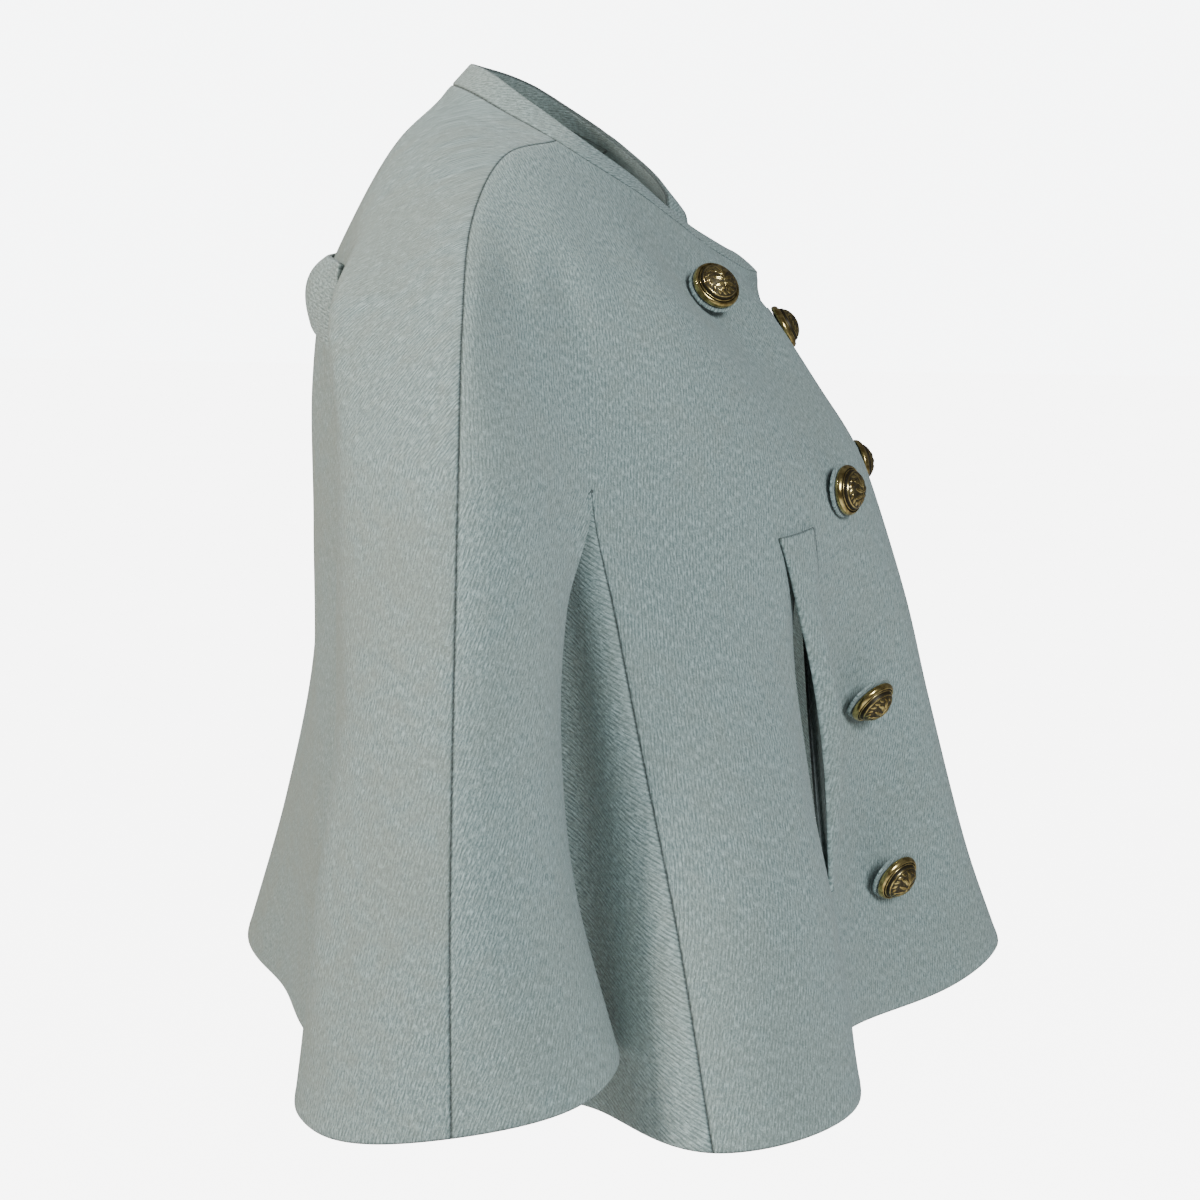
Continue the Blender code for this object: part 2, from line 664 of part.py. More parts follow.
def build_backing(name, front, section, place, droop, swing, material):
    """A cloth disc under a button, round on the panel and of even thickness, tilted with the button."""
    here, across, down, normal = front.frame_at(section, place)
    side = across / np.linalg.norm(across)
    below = np.cross(normal, side)
    if below @ down < 0:
        below = -below
    seat = side, below, normal
    axis = tilted(seat, BACKING_TILT * droop, BACKING_TILT * swing)
    metric = np.array([[across @ across, across @ down], [across @ down, down @ down]])
    root = np.linalg.cholesky(np.linalg.inv(metric))
    points = [here]
    for ring in range(1, BACKING_RINGS + 1):
        radius = BACKING_RADIUS * ring / BACKING_RINGS
        for turn in np.linspace(0.0, 2.0 * math.pi, BACKING_SIDES, endpoint=False):
            step = root @ (radius * math.cos(turn), radius * math.sin(turn))
            points.append(front.at(section + step[1], place + step[0]))
    points = np.array(points)
    slope = np.array((axis @ side, axis @ below)) / (axis @ normal)
    rise = BACKING_RADIUS * np.linalg.norm(slope) - (points - here) @ np.array((side, below)).T @ slope
    lower = points + normal * (BACKING_GAP + rise[:, None])
    upper = lower + axis * BACKING_WALL
    count = len(points)
    faces = []
    for side in range(BACKING_SIDES):
        beside = (side + 1) % BACKING_SIDES
        faces.append([0, 1 + side, 1 + beside])
        for ring in range(1, BACKING_RINGS):
            a = 1 + (ring - 1) * BACKING_SIDES
            b = a + BACKING_SIDES
            faces.append([a + side, b + side, b + beside, a + beside])
    last = 1 + (BACKING_RINGS - 1) * BACKING_SIDES
    solid = [[i + count for i in f] for f in faces] + [f[::-1] for f in faces]
    for side in range(BACKING_SIDES):
        beside = (side + 1) % BACKING_SIDES
        solid.append([last + side, last + beside, last + beside + count, last + side + count])
    object_of(name, np.concatenate([lower, upper]), solid, material)
    return seat, axis, upper


def build_button(name, seat, way_out, backing, droop, swing, material):
    """A domed button turned about its axis, tilted on its shank and just clear of its backing."""
    axis = tilted(seat, droop, swing)
    level = np.cross(axis, seat[1])
    level /= np.linalg.norm(level)
    upright = np.cross(level, axis)
    angles = np.linspace(0.0, 2.0 * math.pi, BUTTON_SIDES, endpoint=False)
    points = []
    for radius, height in BUTTON_PROFILE:
        if radius == 0.0:
            points.append(axis * height)
            continue
        for angle in angles:
            points.append(axis * height + radius * (level * math.cos(angle) + upright * math.sin(angle)))
    points.append(axis * BUTTON_PROFILE[-1][1])
    points = np.array(points)
    centre = backing[0]
    apart = centre + points[:, None] - backing
    height = apart @ way_out
    beside = np.linalg.norm(apart - height[..., None] * way_out, axis=-1)
    centre = centre + way_out * (SEAM_GAP - height[beside < UNDER_REACH].min())
    faces = [[0, 1 + (i + 1) % BUTTON_SIDES, 1 + i] for i in range(BUTTON_SIDES)]
    rings = len(BUTTON_PROFILE) - 1
    for ring in range(rings - 1):
        a, b = 1 + ring * BUTTON_SIDES, 1 + (ring + 1) * BUTTON_SIDES
        for i in range(BUTTON_SIDES):
            j = (i + 1) % BUTTON_SIDES
            faces.append([a + j, b + j, b + i, a + i])
    last, end = 1 + (rings - 1) * BUTTON_SIDES, len(points) - 1
    faces += [[end, last + i, last + (i + 1) % BUTTON_SIDES] for i in range(BUTTON_SIDES)]
    object_of(name, points + centre, faces, material)


def build_buttons(front, cloth, brass):
    """Two columns of four, the left ones on the right front's overlap."""
    for name, section, place, droop, swing in BUTTONS:
        seat, way_out, backing = build_backing(f"button_backing_{name}", front, section, place, droop, swing, cloth)
        build_button(f"button_{name}", seat, way_out, backing, droop, swing, brass)


def main():
    for thing in list(bpy.data.objects):
        bpy.data.objects.remove(thing, do_unlink=True)
    cloth = material_of("wool_twill", CLOTH, CLOTH_ROUGHNESS, 0.0)
    brass = material_of("antique_brass", BRASS, BRASS_ROUGHNESS, 1.0)
    build_cloth(cloth)
    front = front_panel(is_upper=True)
    back = Panel(all_sections(), back_places(), grid(front_or_back, all_sections(), back_places()))
    build_welts(front, front_panel(is_upper=False), cloth)
    build_belt(back, cloth)
    build_buttons(front, cloth, brass)


main()
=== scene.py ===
"""Napoleon jacket in grey-green wool twill: dressed cloth, seams, buttons, light and camera.

X runs to the wearer's left, the front faces -Y, Z is up, and the origin is the middle of the neck
opening. The tables are in millimetres and the meshes in metres. The cloth follows the same lines
and the same curves as the cut pieces of the frame, on a finer grid.
"""

import logging
import math
from dataclasses import dataclass, field
from enum import Enum
from typing import Callable, Iterable, Sequence

import bpy
import numpy as np
from mathutils import Matrix


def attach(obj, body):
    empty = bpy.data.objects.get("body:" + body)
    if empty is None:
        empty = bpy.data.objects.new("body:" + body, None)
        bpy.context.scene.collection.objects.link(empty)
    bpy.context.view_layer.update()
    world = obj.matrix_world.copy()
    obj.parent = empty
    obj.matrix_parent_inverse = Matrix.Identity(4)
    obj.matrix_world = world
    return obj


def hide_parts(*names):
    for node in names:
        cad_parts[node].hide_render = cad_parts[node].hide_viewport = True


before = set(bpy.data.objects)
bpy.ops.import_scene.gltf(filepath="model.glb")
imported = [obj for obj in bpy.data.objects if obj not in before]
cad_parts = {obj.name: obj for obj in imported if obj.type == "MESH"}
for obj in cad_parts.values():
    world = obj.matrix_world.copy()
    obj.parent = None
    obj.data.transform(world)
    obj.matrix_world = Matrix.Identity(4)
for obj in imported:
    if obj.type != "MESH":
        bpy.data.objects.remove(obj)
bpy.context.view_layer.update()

LOG = logging.getLogger("napoleon_jacket")

MM = 0.001
BODY = "root"
UNDERARM, HEM = 4.0, 8.0
LEFT = np.array((-1.0, 1.0, 1.0))

Rows = Sequence[tuple[float, float, float]]

# The garment's lines, from neck to hem (mm): out to the wearer's right, back, up.
# Each row is one section: neck, yoke, shoulder, armhole, underarm, waist, hip, skirt, hem.
CENTRE_FRONT: Rows = (
    (0, -59, -103), (0, -97, -141), (0, -131, -190), (0, -151, -221), (0, -164, -253),
    (0, -183, -311), (0, -198, -370), (0, -222, -457), (0, -244, -518),
)
BUTTON_LINE: Rows = (
    (19, -54, -97), (55, -68, -133), (62, -101, -172), (64, -126, -207), (64, -147, -245),
    (64, -154, -308), (64, -159, -370), (64, -171, -442), (66, -210, -527),
)
WELT_LINE: Rows = (
    (38, -45, -88), (88, -46, -107), (111, -72, -145), (118, -97, -194), (122, -119, -248),
    (128, -128, -307), (134, -137, -368), (142, -148, -440), (148, -160, -524),
)
LOBE_LINE: Rows = (
    (55, -34, -78), (107, -20, -85), (138, -39, -124), (155, -61, -181), (165, -80, -240),
    (178, -101, -299), (190, -126, -363), (202, -152, -438), (213, -173, -532),
)
SIDE_FRONT_SEAM: Rows = (
    (68, -20, -68), (117, 4, -69), (157, -10, -107), (185, -23, -168), (200, -33, -224),
    (216, -48, -284), (235, -65, -350), (257, -86, -430), (278, -107, -532),
)
SLEEVE_FRONT_FOLD: Rows = SIDE_FRONT_SEAM[:5] + (
    (219, -24, -280), (229, -23, -345), (238, -32, -418), (247, -56, -500),
)
SLEEVE_FRONT: Rows = (
    (77, -5, -58), (121, 19, -61), (169, 15, -97), (212, 3, -152), (240, -12, -214),
    (258, -18, -278), (272, -19, -350), (284, -25, -425), (294, -44, -506),
)
OVER_ARM_SEAM: Rows = (
    (80, 9, -49), (120, 29, -58), (175, 33, -91), (232, 24, -140), (266, 18, -205),
    (288, 15, -276), (302, 14, -350), (314, 13, -428), (324, 11, -513),
)
SLEEVE_BACK: Rows = (
    (76, 28, -39), (112, 50, -52), (163, 60, -88), (218, 61, -138), (254, 58, -200),
    (275, 55, -272), (290, 55, -348), (304, 59, -428), (319, 60, -522),
)
SLEEVE_BACK_EDGE: Rows = (
    (70, 42, -32), (103, 67, -49), (152, 84, -89), (200, 99, -133), (226, 90, -196),
    (250, 84, -270), (264, 82, -346), (280, 89, -428), (299, 91, -525),
)
BACK_SIDE_SEAM: Rows = (
    (60, 56, -25), (88, 84, -47), (134, 102, -89), (168, 103, -129), (179, 94, -184),
    (178, 97, -264), (178, 104, -350), (178, 116, -440), (178, 129, -534),
)
SLEEVE_BACK_FOLD: Rows = BACK_SIDE_SEAM[:5] + (
    (218, 88, -264), (232, 88, -342), (249, 93, -426), (268, 104, -522),
)
BLADE_LINE: Rows = (
    (42, 71, -19), (62, 101, -46), (94, 119, -88), (112, 131, -128), (120, 135, -182),
    (118, 138, -262), (116, 142, -350), (116, 153, -442), (120, 164, -532),
)
BACK_LINE: Rows = (
    (21, 82, -16), (31, 109, -49), (48, 129, -91), (58, 146, -128), (60, 155, -182),
    (60, 158, -262), (59, 161, -350), (61, 179, -440), (66, 202, -534),
)
CENTRE_BACK: Rows = (
    (0, 86, -15), (0, 110, -50), (0, 134, -92), (0, 156, -128), (0, 170, -182),
    (0, 173, -262), (0, 177, -350), (0, 197, -442), (0, 226, -535),
)

# Under the arm (mm), from the underarm seam down the body's side and down the sleeve's inside.
# Each row is one section: underarm, waist, hip, skirt, hem.
SIDE_LINES: tuple[Rows, ...] = (
    ((189, -4, -213), (196, -17, -280), (204, -26, -350), (214, -34, -434), (224, -41, -541)),
    ((184, 34, -203), (185, 29, -275), (189, 25, -350), (196, 19, -438), (205, 14, -545)),
    ((180, 70, -193), (178, 70, -270), (180, 74, -350), (185, 78, -440), (190, 80, -542)),
)
INNER_LINES: tuple[Rows, ...] = (
    ((189, -4, -213), (203, -8, -272), (212, -5, -345), (222, -12, -420), (231, -30, -503)),
    ((184, 34, -203), (198, 34, -268), (206, 34, -345), (213, 33, -425), (222, 27, -512)),
    ((180, 70, -193), (199, 67, -265), (209, 68, -343), (219, 72, -426), (234, 75, -519)),
)


class Side(Enum):
    """The wearer's side. The right front closes over the left."""

    RIGHT = "right"
    LEFT = "left"

    @property
    def is_upper(self) -> bool:
        """Whether this side's front lies on top."""
        return self is Side.RIGHT


class GridEdge(Enum):
    """An edge of a grid of cloth points."""

    START = "start"
    END = "end"
    TOP = "top"
    BOTTOM = "bottom"


# ------------------------------------------------------------------ curves


def smooth_step(t: np.ndarray) -> np.ndarray:
    """A step from 0 to 1 with level ends: 3t^2 - 2t^3 on t held between 0 and 1.

    Args:
        t: Where to read the step.

    Returns:
        The step's values.
    """
    t = np.clip(t, 0.0, 1.0)
    return t * t * (3.0 - 2.0 * t)


def natural_spline(values: np.ndarray, at: np.ndarray) -> np.ndarray:
    """Reads the natural cubic spline through stations 0, 1, 2... of each row.

    The second derivatives come from the usual 1-4-1 system, zero at both ends; a point is the
    straight mix of its two stations plus ((a^3 - a) bend0 + (b^3 - b) bend1) / 6.

    Args:
        values: Stations, (..., stations, 3).
        at: The place to read in each row, (...).

    Returns:
        Points, (..., 3).
    """
    count = values.shape[-2]
    system = np.eye(count)
    inner = np.arange(1, count - 1)
    system[inner, inner - 1] = system[inner, inner + 1] = 1.0
    system[inner, inner] = 4.0
    right = np.zeros_like(values)
    right[..., 1:-1, :] = 6.0 * (values[..., :-2, :] - 2.0 * values[..., 1:-1, :] + values[..., 2:, :])
    bend = np.einsum("ij,...jc->...ic", np.linalg.inv(system), right)
    low = np.clip(np.floor(at).astype(int), 0, count - 2)
    b = (at - low)[..., None]
    a = 1.0 - b
    index = low[..., None, None]

    def take(array: np.ndarray, shift: int) -> np.ndarray:
        """Picks each row's station at the place's floor, or shifted from it."""
        return np.take_along_axis(array, index + shift, axis=-2)[..., 0, :]

    return (a * take(values, 0) + b * take(values, 1)
            + ((a ** 3 - a) * take(bend, 0) + (b ** 3 - b) * take(bend, 1)) / 6.0)


def tangents(points: np.ndarray) -> np.ndarray:
    """Catmull-Rom tangents of a row of points, one-sided at both ends.

    Args:
        points: Points, (count, 3).

    Returns:
        A tangent for each point, (count, 3).
    """
    inner = (points[2:] - points[:-2]) / 2.0
    return np.concatenate([points[1:2] - points[:1], inner, points[-1:] - points[-2:-1]])


def clustered(count: int, start: bool = False, end: bool = False) -> np.ndarray:
    """Shares from 0 to 1 whose first or last steps are short.

    The steps near a marked end are 0.15, 0.25, 0.4, 0.6 and 0.8 of the others.

    Args:
        count: How many steps.
        start: Whether the first steps are short.
        end: Whether the last steps are short.

    Returns:
        count + 1 shares.
    """
    short = np.array((0.15, 0.25, 0.4, 0.6, 0.8))
    steps = np.ones(count)
    if start:
        steps[:len(short)] = short
    if end:
        steps[-len(short):] = short[::-1]
    return np.concatenate([[0.0], np.cumsum(steps) / steps.sum()])


def between(low: float, high: float, count: int) -> np.ndarray:
    """Places from low to high in count steps, short at both ends."""
    return low + clustered(count, start=True, end=True) * (high - low)


@dataclass(frozen=True)
class Line:
    """One line of the garment from neck to hem, with its slopes."""

    points: np.ndarray
    slopes: np.ndarray

    @classmethod
    def from_rows(cls, rows: Rows, twin: Rows | None = None) -> "Line":
        """Makes a line from a table's rows.

        Args:
            rows: The table's rows, out to the right, back and up.
            twin: The line that it parts from at the underarm; both take the same slope there.

        Returns:
            The line in the row frame, where the wearer's right is -X.
        """
        points = np.array(rows, float) * LEFT
        slopes = tangents(points)
        if twin is not None:
            fork = int(UNDERARM)
            slopes[fork] = (slopes[fork] + tangents(np.array(twin, float) * LEFT)[fork]) / 2.0
        return cls(points, slopes)

    def at(self, section: np.ndarray) -> np.ndarray:
        """Reads the line's Hermite cubic at sections.

        Args:
            section: Sections, (...).

        Returns:
            Points, (..., 3).
        """
        low = np.clip(section.astype(int), 0, len(self.points) - 2)
        t = (section - low)[..., None]
        return ((2 * t ** 3 - 3 * t ** 2 + 1) * self.points[low]
                + (t ** 3 - 2 * t ** 2 + t) * self.slopes[low]
                + (3 * t ** 2 - 2 * t ** 3) * self.points[low + 1]
                + (t ** 3 - t ** 2) * self.slopes[low + 1])

    def below(self, section: np.ndarray, on_sleeve: bool) -> np.ndarray:
        """Reads a line that runs up the body's side and down inside the sleeve.

        Args:
            section: Sections under the underarm, (...).
            on_sleeve: Whether the sleeve's half is read.

        Returns:
            Points, (..., 3).
        """
        past = section - UNDERARM
        return self.at(UNDERARM + past if on_sleeve else UNDERARM - past)


# ------------------------------------------------------------------ the garment's form


@dataclass
class GarmentForm:
    """The jacket's outer surface as functions of section, down, and place, round."""

    at_side_front: float = 4.0
    at_over_arm: float = 6.0
    at_back_side: float = 9.0
    at_centre_back: float = 12.0
    under_places: float = 4.0
    body_back_side: float = 8.0
    sleeve_round_places: float = 9.0
    free_edge_table: tuple[tuple[float, float], ...] = (
        (0.0, 1.20), (0.4, 1.32), (1.0, 1.38), (2.0, 1.42), (4.0, 1.38), (7.6, 1.31), (8.0, 1.12))
    neck_drop: float = 0.85
    corner_lift: float = 37.0
    corner_end: float = 3.4
    corner_power: float = 2.5
    underlap: float = 3.9
    underlap_fade: float = 0.9
    underlap_start: float = 0.08
    front: list[Line] = field(default_factory=lambda: [
        Line.from_rows(r) for r in (CENTRE_FRONT, BUTTON_LINE, WELT_LINE, LOBE_LINE)])
    seam_front: Line = field(default_factory=lambda: Line.from_rows(SIDE_FRONT_SEAM, SLEEVE_FRONT_FOLD))
    fold_front: Line = field(default_factory=lambda: Line.from_rows(SLEEVE_FRONT_FOLD, SIDE_FRONT_SEAM))
    sleeve: list[Line] = field(default_factory=lambda: [
        Line.from_rows(r) for r in (SLEEVE_FRONT, OVER_ARM_SEAM, SLEEVE_BACK, SLEEVE_BACK_EDGE)])
    seam_back: Line = field(default_factory=lambda: Line.from_rows(BACK_SIDE_SEAM, SLEEVE_BACK_FOLD))
    fold_back: Line = field(default_factory=lambda: Line.from_rows(SLEEVE_BACK_FOLD, BACK_SIDE_SEAM))
    back: list[Line] = field(default_factory=lambda: [
        Line.from_rows(r) for r in (BLADE_LINE, BACK_LINE, CENTRE_BACK)])
    under: list[Line] = field(default_factory=lambda: [
        Line.from_rows(side[::-1] + inner[1:]) for side, inner in zip(SIDE_LINES, INNER_LINES)])

    @staticmethod
    def _across_centres(stations: list[np.ndarray]) -> np.ndarray:
        """Stations from centre front to centre back, carried on past both by their mirror images."""
        s = np.stack(stations, axis=-2)
        return np.concatenate([s[..., 4:0:-1, :] * LEFT, s, s[..., -2:-5:-1, :] * LEFT], axis=-2)

    @staticmethod
    def _mixed(section: np.ndarray, near: np.ndarray, far: np.ndarray) -> np.ndarray:
        """Goes over from the form above the underarm to the form below it in one section."""
        share = smooth_step(section - UNDERARM)[..., None]
        return near * (1.0 - share) + far * share

    def ends(self, on_sleeve: bool) -> tuple[Line, Line]:
        """The sleeve's two folds, or the body's two side seams."""
        return (self.fold_front, self.fold_back) if on_sleeve else (self.seam_front, self.seam_back)

    def whole_round(self, section: np.ndarray, place: np.ndarray, on_sleeve: bool) -> np.ndarray:
        """The spline round the sheet above the underarm, with the sleeve's outside in it."""
        first, last = self.ends(on_sleeve)
        lines = self.front + [first] + self.sleeve + [last] + self.back
        return natural_spline(self._across_centres([line.at(section) for line in lines]), place + 4)

    def body_round(self, section: np.ndarray, place: np.ndarray) -> np.ndarray:
        """The spline round the body below the underarm."""
        stations = [line.at(section) for line in self.front + [self.seam_front]]
        stations += [line.below(section, False) for line in self.under]
        stations += [line.at(section) for line in [self.seam_back] + self.back]
        return natural_spline(self._across_centres(stations), place + 4)

    def sleeve_round(self, section: np.ndarray, place: np.ndarray) -> np.ndarray:
        """The closed spline round the sleeve below the underarm, from its front fold outside."""
        stations = [line.at(section) for line in [self.fold_front] + self.sleeve + [self.fold_back]]
        stations += [line.below(section, True) for line in reversed(self.under)]
        ring = np.stack(stations + stations[:1], axis=-2)
        loop = np.concatenate([ring[..., -4:-1, :], ring, ring[..., 1:4, :]], axis=-2)
        return natural_spline(loop, place + 3)

    def under_round(self, section: np.ndarray, place: np.ndarray, on_sleeve: bool) -> np.ndarray:
        """The spline across the underarm only, from its front end to its back end."""
        first, last = self.ends(on_sleeve)
        stations = [first.at(section)] + [line.below(section, on_sleeve) for line in self.under]
        return natural_spline(np.stack(stations + [last.at(section)], axis=-2), place)

    def body(self, section: np.ndarray, place: np.ndarray) -> np.ndarray:
        """Fronts and backs, places counted as round the whole sheet."""
        past_side = place - self.at_back_side + self.body_back_side
        body_place = np.where(place > self.at_side_front, past_side, place)
        return self._mixed(section, self.whole_round(section, place, False),
                           self.body_round(section, body_place))

    def sleeve_outside(self, section: np.ndarray, place: np.ndarray) -> np.ndarray:
        """The sleeve's outside, places counted as round the whole sheet."""
        return self._mixed(section, self.whole_round(section, place, True),
                           self.sleeve_round(section, place - self.at_side_front))

    def sleeve_inside(self, section: np.ndarray, place: np.ndarray) -> np.ndarray:
        """The sleeve's inside, place 0 at its front fold and 4 at its back fold."""
        return self._mixed(section, self.under_round(section, place, True),
                           self.sleeve_round(section, self.sleeve_round_places - place))

    def side_panel(self, section: np.ndarray, place: np.ndarray) -> np.ndarray:
        """The side panel, place 0 at its front seam and 4 at its back seam."""
        return self._mixed(section, self.under_round(section, place, False),
                           self.body_round(section, place + self.at_side_front))

    def free_edge(self, section: np.ndarray) -> np.ndarray:
        """How many places past the centre front a front's free edge lies."""
        return np.interp(section, *np.array(self.free_edge_table).T)

    def front_panel(self, section: np.ndarray, place: np.ndarray, is_lifted: bool) -> np.ndarray:
        """A front, its neck edge run on down past the centre and its free corner lifted.

        Past the centre the section grows by the drop times the share of the overlap times
        (1 - section / underarm)^2. The corner moves forward by the lift times share^2.5 times fade^3.

        Args:
            section: Sections as the rows count them, (...).
            place: Places, negative past the centre front, (...).
            is_lifted: Whether this is the upper front.

        Returns:
            Points, (..., 3).
        """
        past = np.maximum(-place, 0.0)
        share = past / self.free_edge(section)
        lower = section + self.neck_drop * share * np.maximum(0.0, 1.0 - section / UNDERARM) ** 2
        points = self.body(lower, place)
        if is_lifted:
            points = points - self.corner(lower, past)[..., None] * np.array((0.0, 1.0, 0.0))
        return points

    def corner(self, section: np.ndarray, past: np.ndarray) -> np.ndarray:
        """How far forward the upper front's corner stands, in mm."""
        fade = np.maximum(0.0, self.corner_end - section) / (self.corner_end - self.neck_drop)
        return self.corner_lift * (past / self.free_edge(section)) ** self.corner_power * fade ** 3

    def tuck(self, section: np.ndarray, place: np.ndarray) -> np.ndarray:
        """How far in the front beneath lies, mm: the underlap, fading out past the upper free edge.

        Args:
            section: Sections, (...).
            place: Places, (...).

        Returns:
            Depths, (...).
        """
        past = (place - self.free_edge(section)) / self.underlap_fade
        return self.underlap * (1.0 - smooth_step(past - self.underlap_start))

    def on_front(self, section: np.ndarray, place: np.ndarray) -> np.ndarray:
        """A point on the upper front by section and place of the plain form, with its corner's lift."""
        past = np.maximum(-place, 0.0)
        return self.body(section, place) - self.corner(section, past)[..., None] * np.array((0.0, 1.0, 0.0))


# ------------------------------------------------------------------ creases


@dataclass(frozen=True)
class Crease:
    """A soft trough (negative) or ridge (positive) along a line on the right half, in mm.

    The height falls off across the line as exp(-(distance / width)^2) and towards its ends as the
    square root of the sine of the share along it.
    """

    path: tuple[tuple[float, float, float], ...]
    width: float
    height: float

    def heights(self, points: np.ndarray) -> np.ndarray:
        """The crease's height at points.

        Args:
            points: Points on the right half in the row frame, mm, (count, 3).

        Returns:
            A height for each point, mm.
        """
        path = np.array(self.path, float) * LEFT
        legs = np.linalg.norm(np.diff(path, axis=0), axis=1)
        starts = np.concatenate([[0.0], np.cumsum(legs)])
        nearest = np.full(len(points), np.inf)
        along = np.zeros(len(points))
        for a, b, start, leg in zip(path[:-1], path[1:], starts, legs):
            t = np.clip((points - a) @ (b - a) / leg ** 2, 0.0, 1.0)
            distance = np.linalg.norm(points - a - t[:, None] * (b - a), axis=1)
            closer = distance < nearest
            nearest = np.where(closer, distance, nearest)
            along = np.where(closer, start + t * leg, along)
        taper = np.sqrt(np.maximum(np.sin(np.pi * along / starts[-1]), 0.0))
        return self.height * np.exp(-(nearest / self.width) ** 2) * taper


RIGHT_CREASES: tuple[Crease, ...] = (
    Crease(((150, 0, -98), (172, -14, -140), (192, -28, -196)), 11.0, -2.2),
    Crease(((166, 6, -104), (196, -8, -160), (222, -22, -214)), 10.0, 1.2),
    Crease(((150, 105, -104), (172, 108, -134), (184, 100, -170)), 6.0, -2.8),
    Crease(((232, 84, -230), (252, 80, -300), (264, 82, -372)), 9.0, -1.6),
    Crease(((262, 76, -330), (278, 80, -410), (296, 86, -490)), 12.0, 1.4),
    Crease(((222, -60, -300), (232, -76, -380), (244, -92, -450)), 10.0, -1.2),
    Crease(((172, -118, -380), (180, -138, -450), (186, -158, -510)), 14.0, 1.4),
)
LEFT_CREASES: tuple[Crease, ...] = (
    Crease(((148, 0, -96), (174, -16, -144), (194, -28, -200)), 10.0, -2.4),
    Crease(((164, 6, -102), (192, -8, -152), (220, -22, -208)), 11.0, 1.0),
    Crease(((152, 105, -106), (174, 108, -138), (184, 100, -166)), 7.0, -2.4),
    Crease(((228, 84, -216), (250, 80, -310), (262, 82, -360)), 10.0, -1.4),
    Crease(((268, 76, -350), (282, 80, -430), (298, 86, -500)), 11.0, 1.7),
    Crease(((220, -58, -290), (234, -76, -396), (246, -92, -462)), 11.0, -1.0),
    Crease(((168, -112, -352), (178, -134, -434), (186, -158, -508)), 13.0, 1.7),
)


def crease_heights(points: np.ndarray, side: Side) -> np.ndarray:
    """The sum of one side's creases at points.

    Args:
        points: Points of that side in the row frame, mm, (count, 3).
        side: Which side's creases.

    Returns:
        A height for each point, mm.
    """
    if side is Side.RIGHT:
        return sum(crease.heights(points) for crease in RIGHT_CREASES)
    return sum(crease.heights(points * LEFT) for crease in LEFT_CREASES)


# ------------------------------------------------------------------ sheets and meshes


def outward_normals(points: np.ndarray, facing: bool) -> np.ndarray:
    """Unit normals of a grid: across x down, turned round where the grid faces the other way.

    Args:
        points: Grid points, (rows, columns, 3).
        facing: Whether across x down points outwards.

    Returns:
        Unit normals, (rows, columns, 3).
    """
    normal = np.cross(np.gradient(points, axis=1), np.gradient(points, axis=0))
    if not facing:
        normal = -normal
    return normal / np.maximum(np.linalg.norm(normal, axis=-1, keepdims=True), 1e-9)


def grain_of(points: np.ndarray, facing: bool, line: int,
             start: np.ndarray | None = None) -> np.ndarray:
    """Unrolls a grid into cloth coordinates, mm across and along the grain.

    Along the grain is straight down in the surface, across is at right angles to it. Both are
    summed along one grid line from its top, and from there along each row.

    Args:
        points: Grid points, mm, (rows, columns, 3).
        facing: Whether across x down points outwards.
        line: The column that the rows are summed from.
        start: Cloth coordinates of that column, (2,) at its top or (rows, 2) all down it.

    Returns:
        Cloth coordinates, mm, (rows, columns, 2).
    """
    normal = outward_normals(points, facing)
    down = np.array((0.0, 0.0, -1.0)) - normal * -normal[..., 2:3]
    down /= np.maximum(np.linalg.norm(down, axis=-1, keepdims=True), 1e-9)
    axes = np.stack([np.cross(down, normal), down], axis=-2)
    row_steps = np.einsum("rcij,rcj->rci", (axes[:, 1:] + axes[:, :-1]) / 2.0, np.diff(points, axis=1))
    sums = np.concatenate([np.zeros((len(points), 1, 2)), np.cumsum(row_steps, axis=1)], axis=1)
    start = np.zeros(2) if start is None else np.asarray(start)
    if start.ndim == 1:
        steps = np.einsum("rij,rj->ri", (axes[1:, line] + axes[:-1, line]) / 2.0,
                          np.diff(points[:, line], axis=0))
        start = start + np.concatenate([np.zeros((1, 2)), np.cumsum(steps, axis=0)])
    return sums - sums[:, line:line + 1] + start[:, None]


def distance_to(points: np.ndarray, edges: Iterable[GridEdge]) -> np.ndarray:
    """How far each grid point lies from the nearest of some grid edges, along rows and columns.

    Args:
        points: Grid points, mm, (rows, columns, 3).
        edges: The edges that are cut or sewn.

    Returns:
        Distances, mm, (rows, columns).
    """
    across = np.concatenate([np.zeros((len(points), 1)),
                             np.cumsum(np.linalg.norm(np.diff(points, axis=1), axis=-1), axis=1)], axis=1)
    down = np.concatenate([np.zeros((1, points.shape[1])),
                           np.cumsum(np.linalg.norm(np.diff(points, axis=0), axis=-1), axis=0)], axis=0)
    ways = {GridEdge.START: across, GridEdge.END: across[:, -1:] - across,
            GridEdge.TOP: down, GridEdge.BOTTOM: down[-1:] - down}
    return np.minimum.reduce([ways[edge] for edge in edges])


@dataclass
class Sheet:
    """A grid of cloth points with what each one carries."""

    piece: str
    points: np.ndarray
    facing: bool
    grain: np.ndarray
    edge: np.ndarray
    depth: np.ndarray | None = None

    def corners(self) -> np.ndarray:
        """The grid's quads as corner records: x, y, z, depth, edge distance, grain across and along.

        Returns:
            Records, (quads, 4, 7), wound to face outwards.
        """
        depth = np.zeros(self.points.shape[:2]) if self.depth is None else self.depth
        full = np.concatenate([self.points, depth[..., None], self.edge[..., None], self.grain], axis=-1)
        quads = np.stack([full[:-1, :-1], full[:-1, 1:], full[1:, 1:], full[1:, :-1]], axis=2)
        quads = quads.reshape(-1, 4, full.shape[-1])
        return quads if self.facing else quads[:, ::-1]


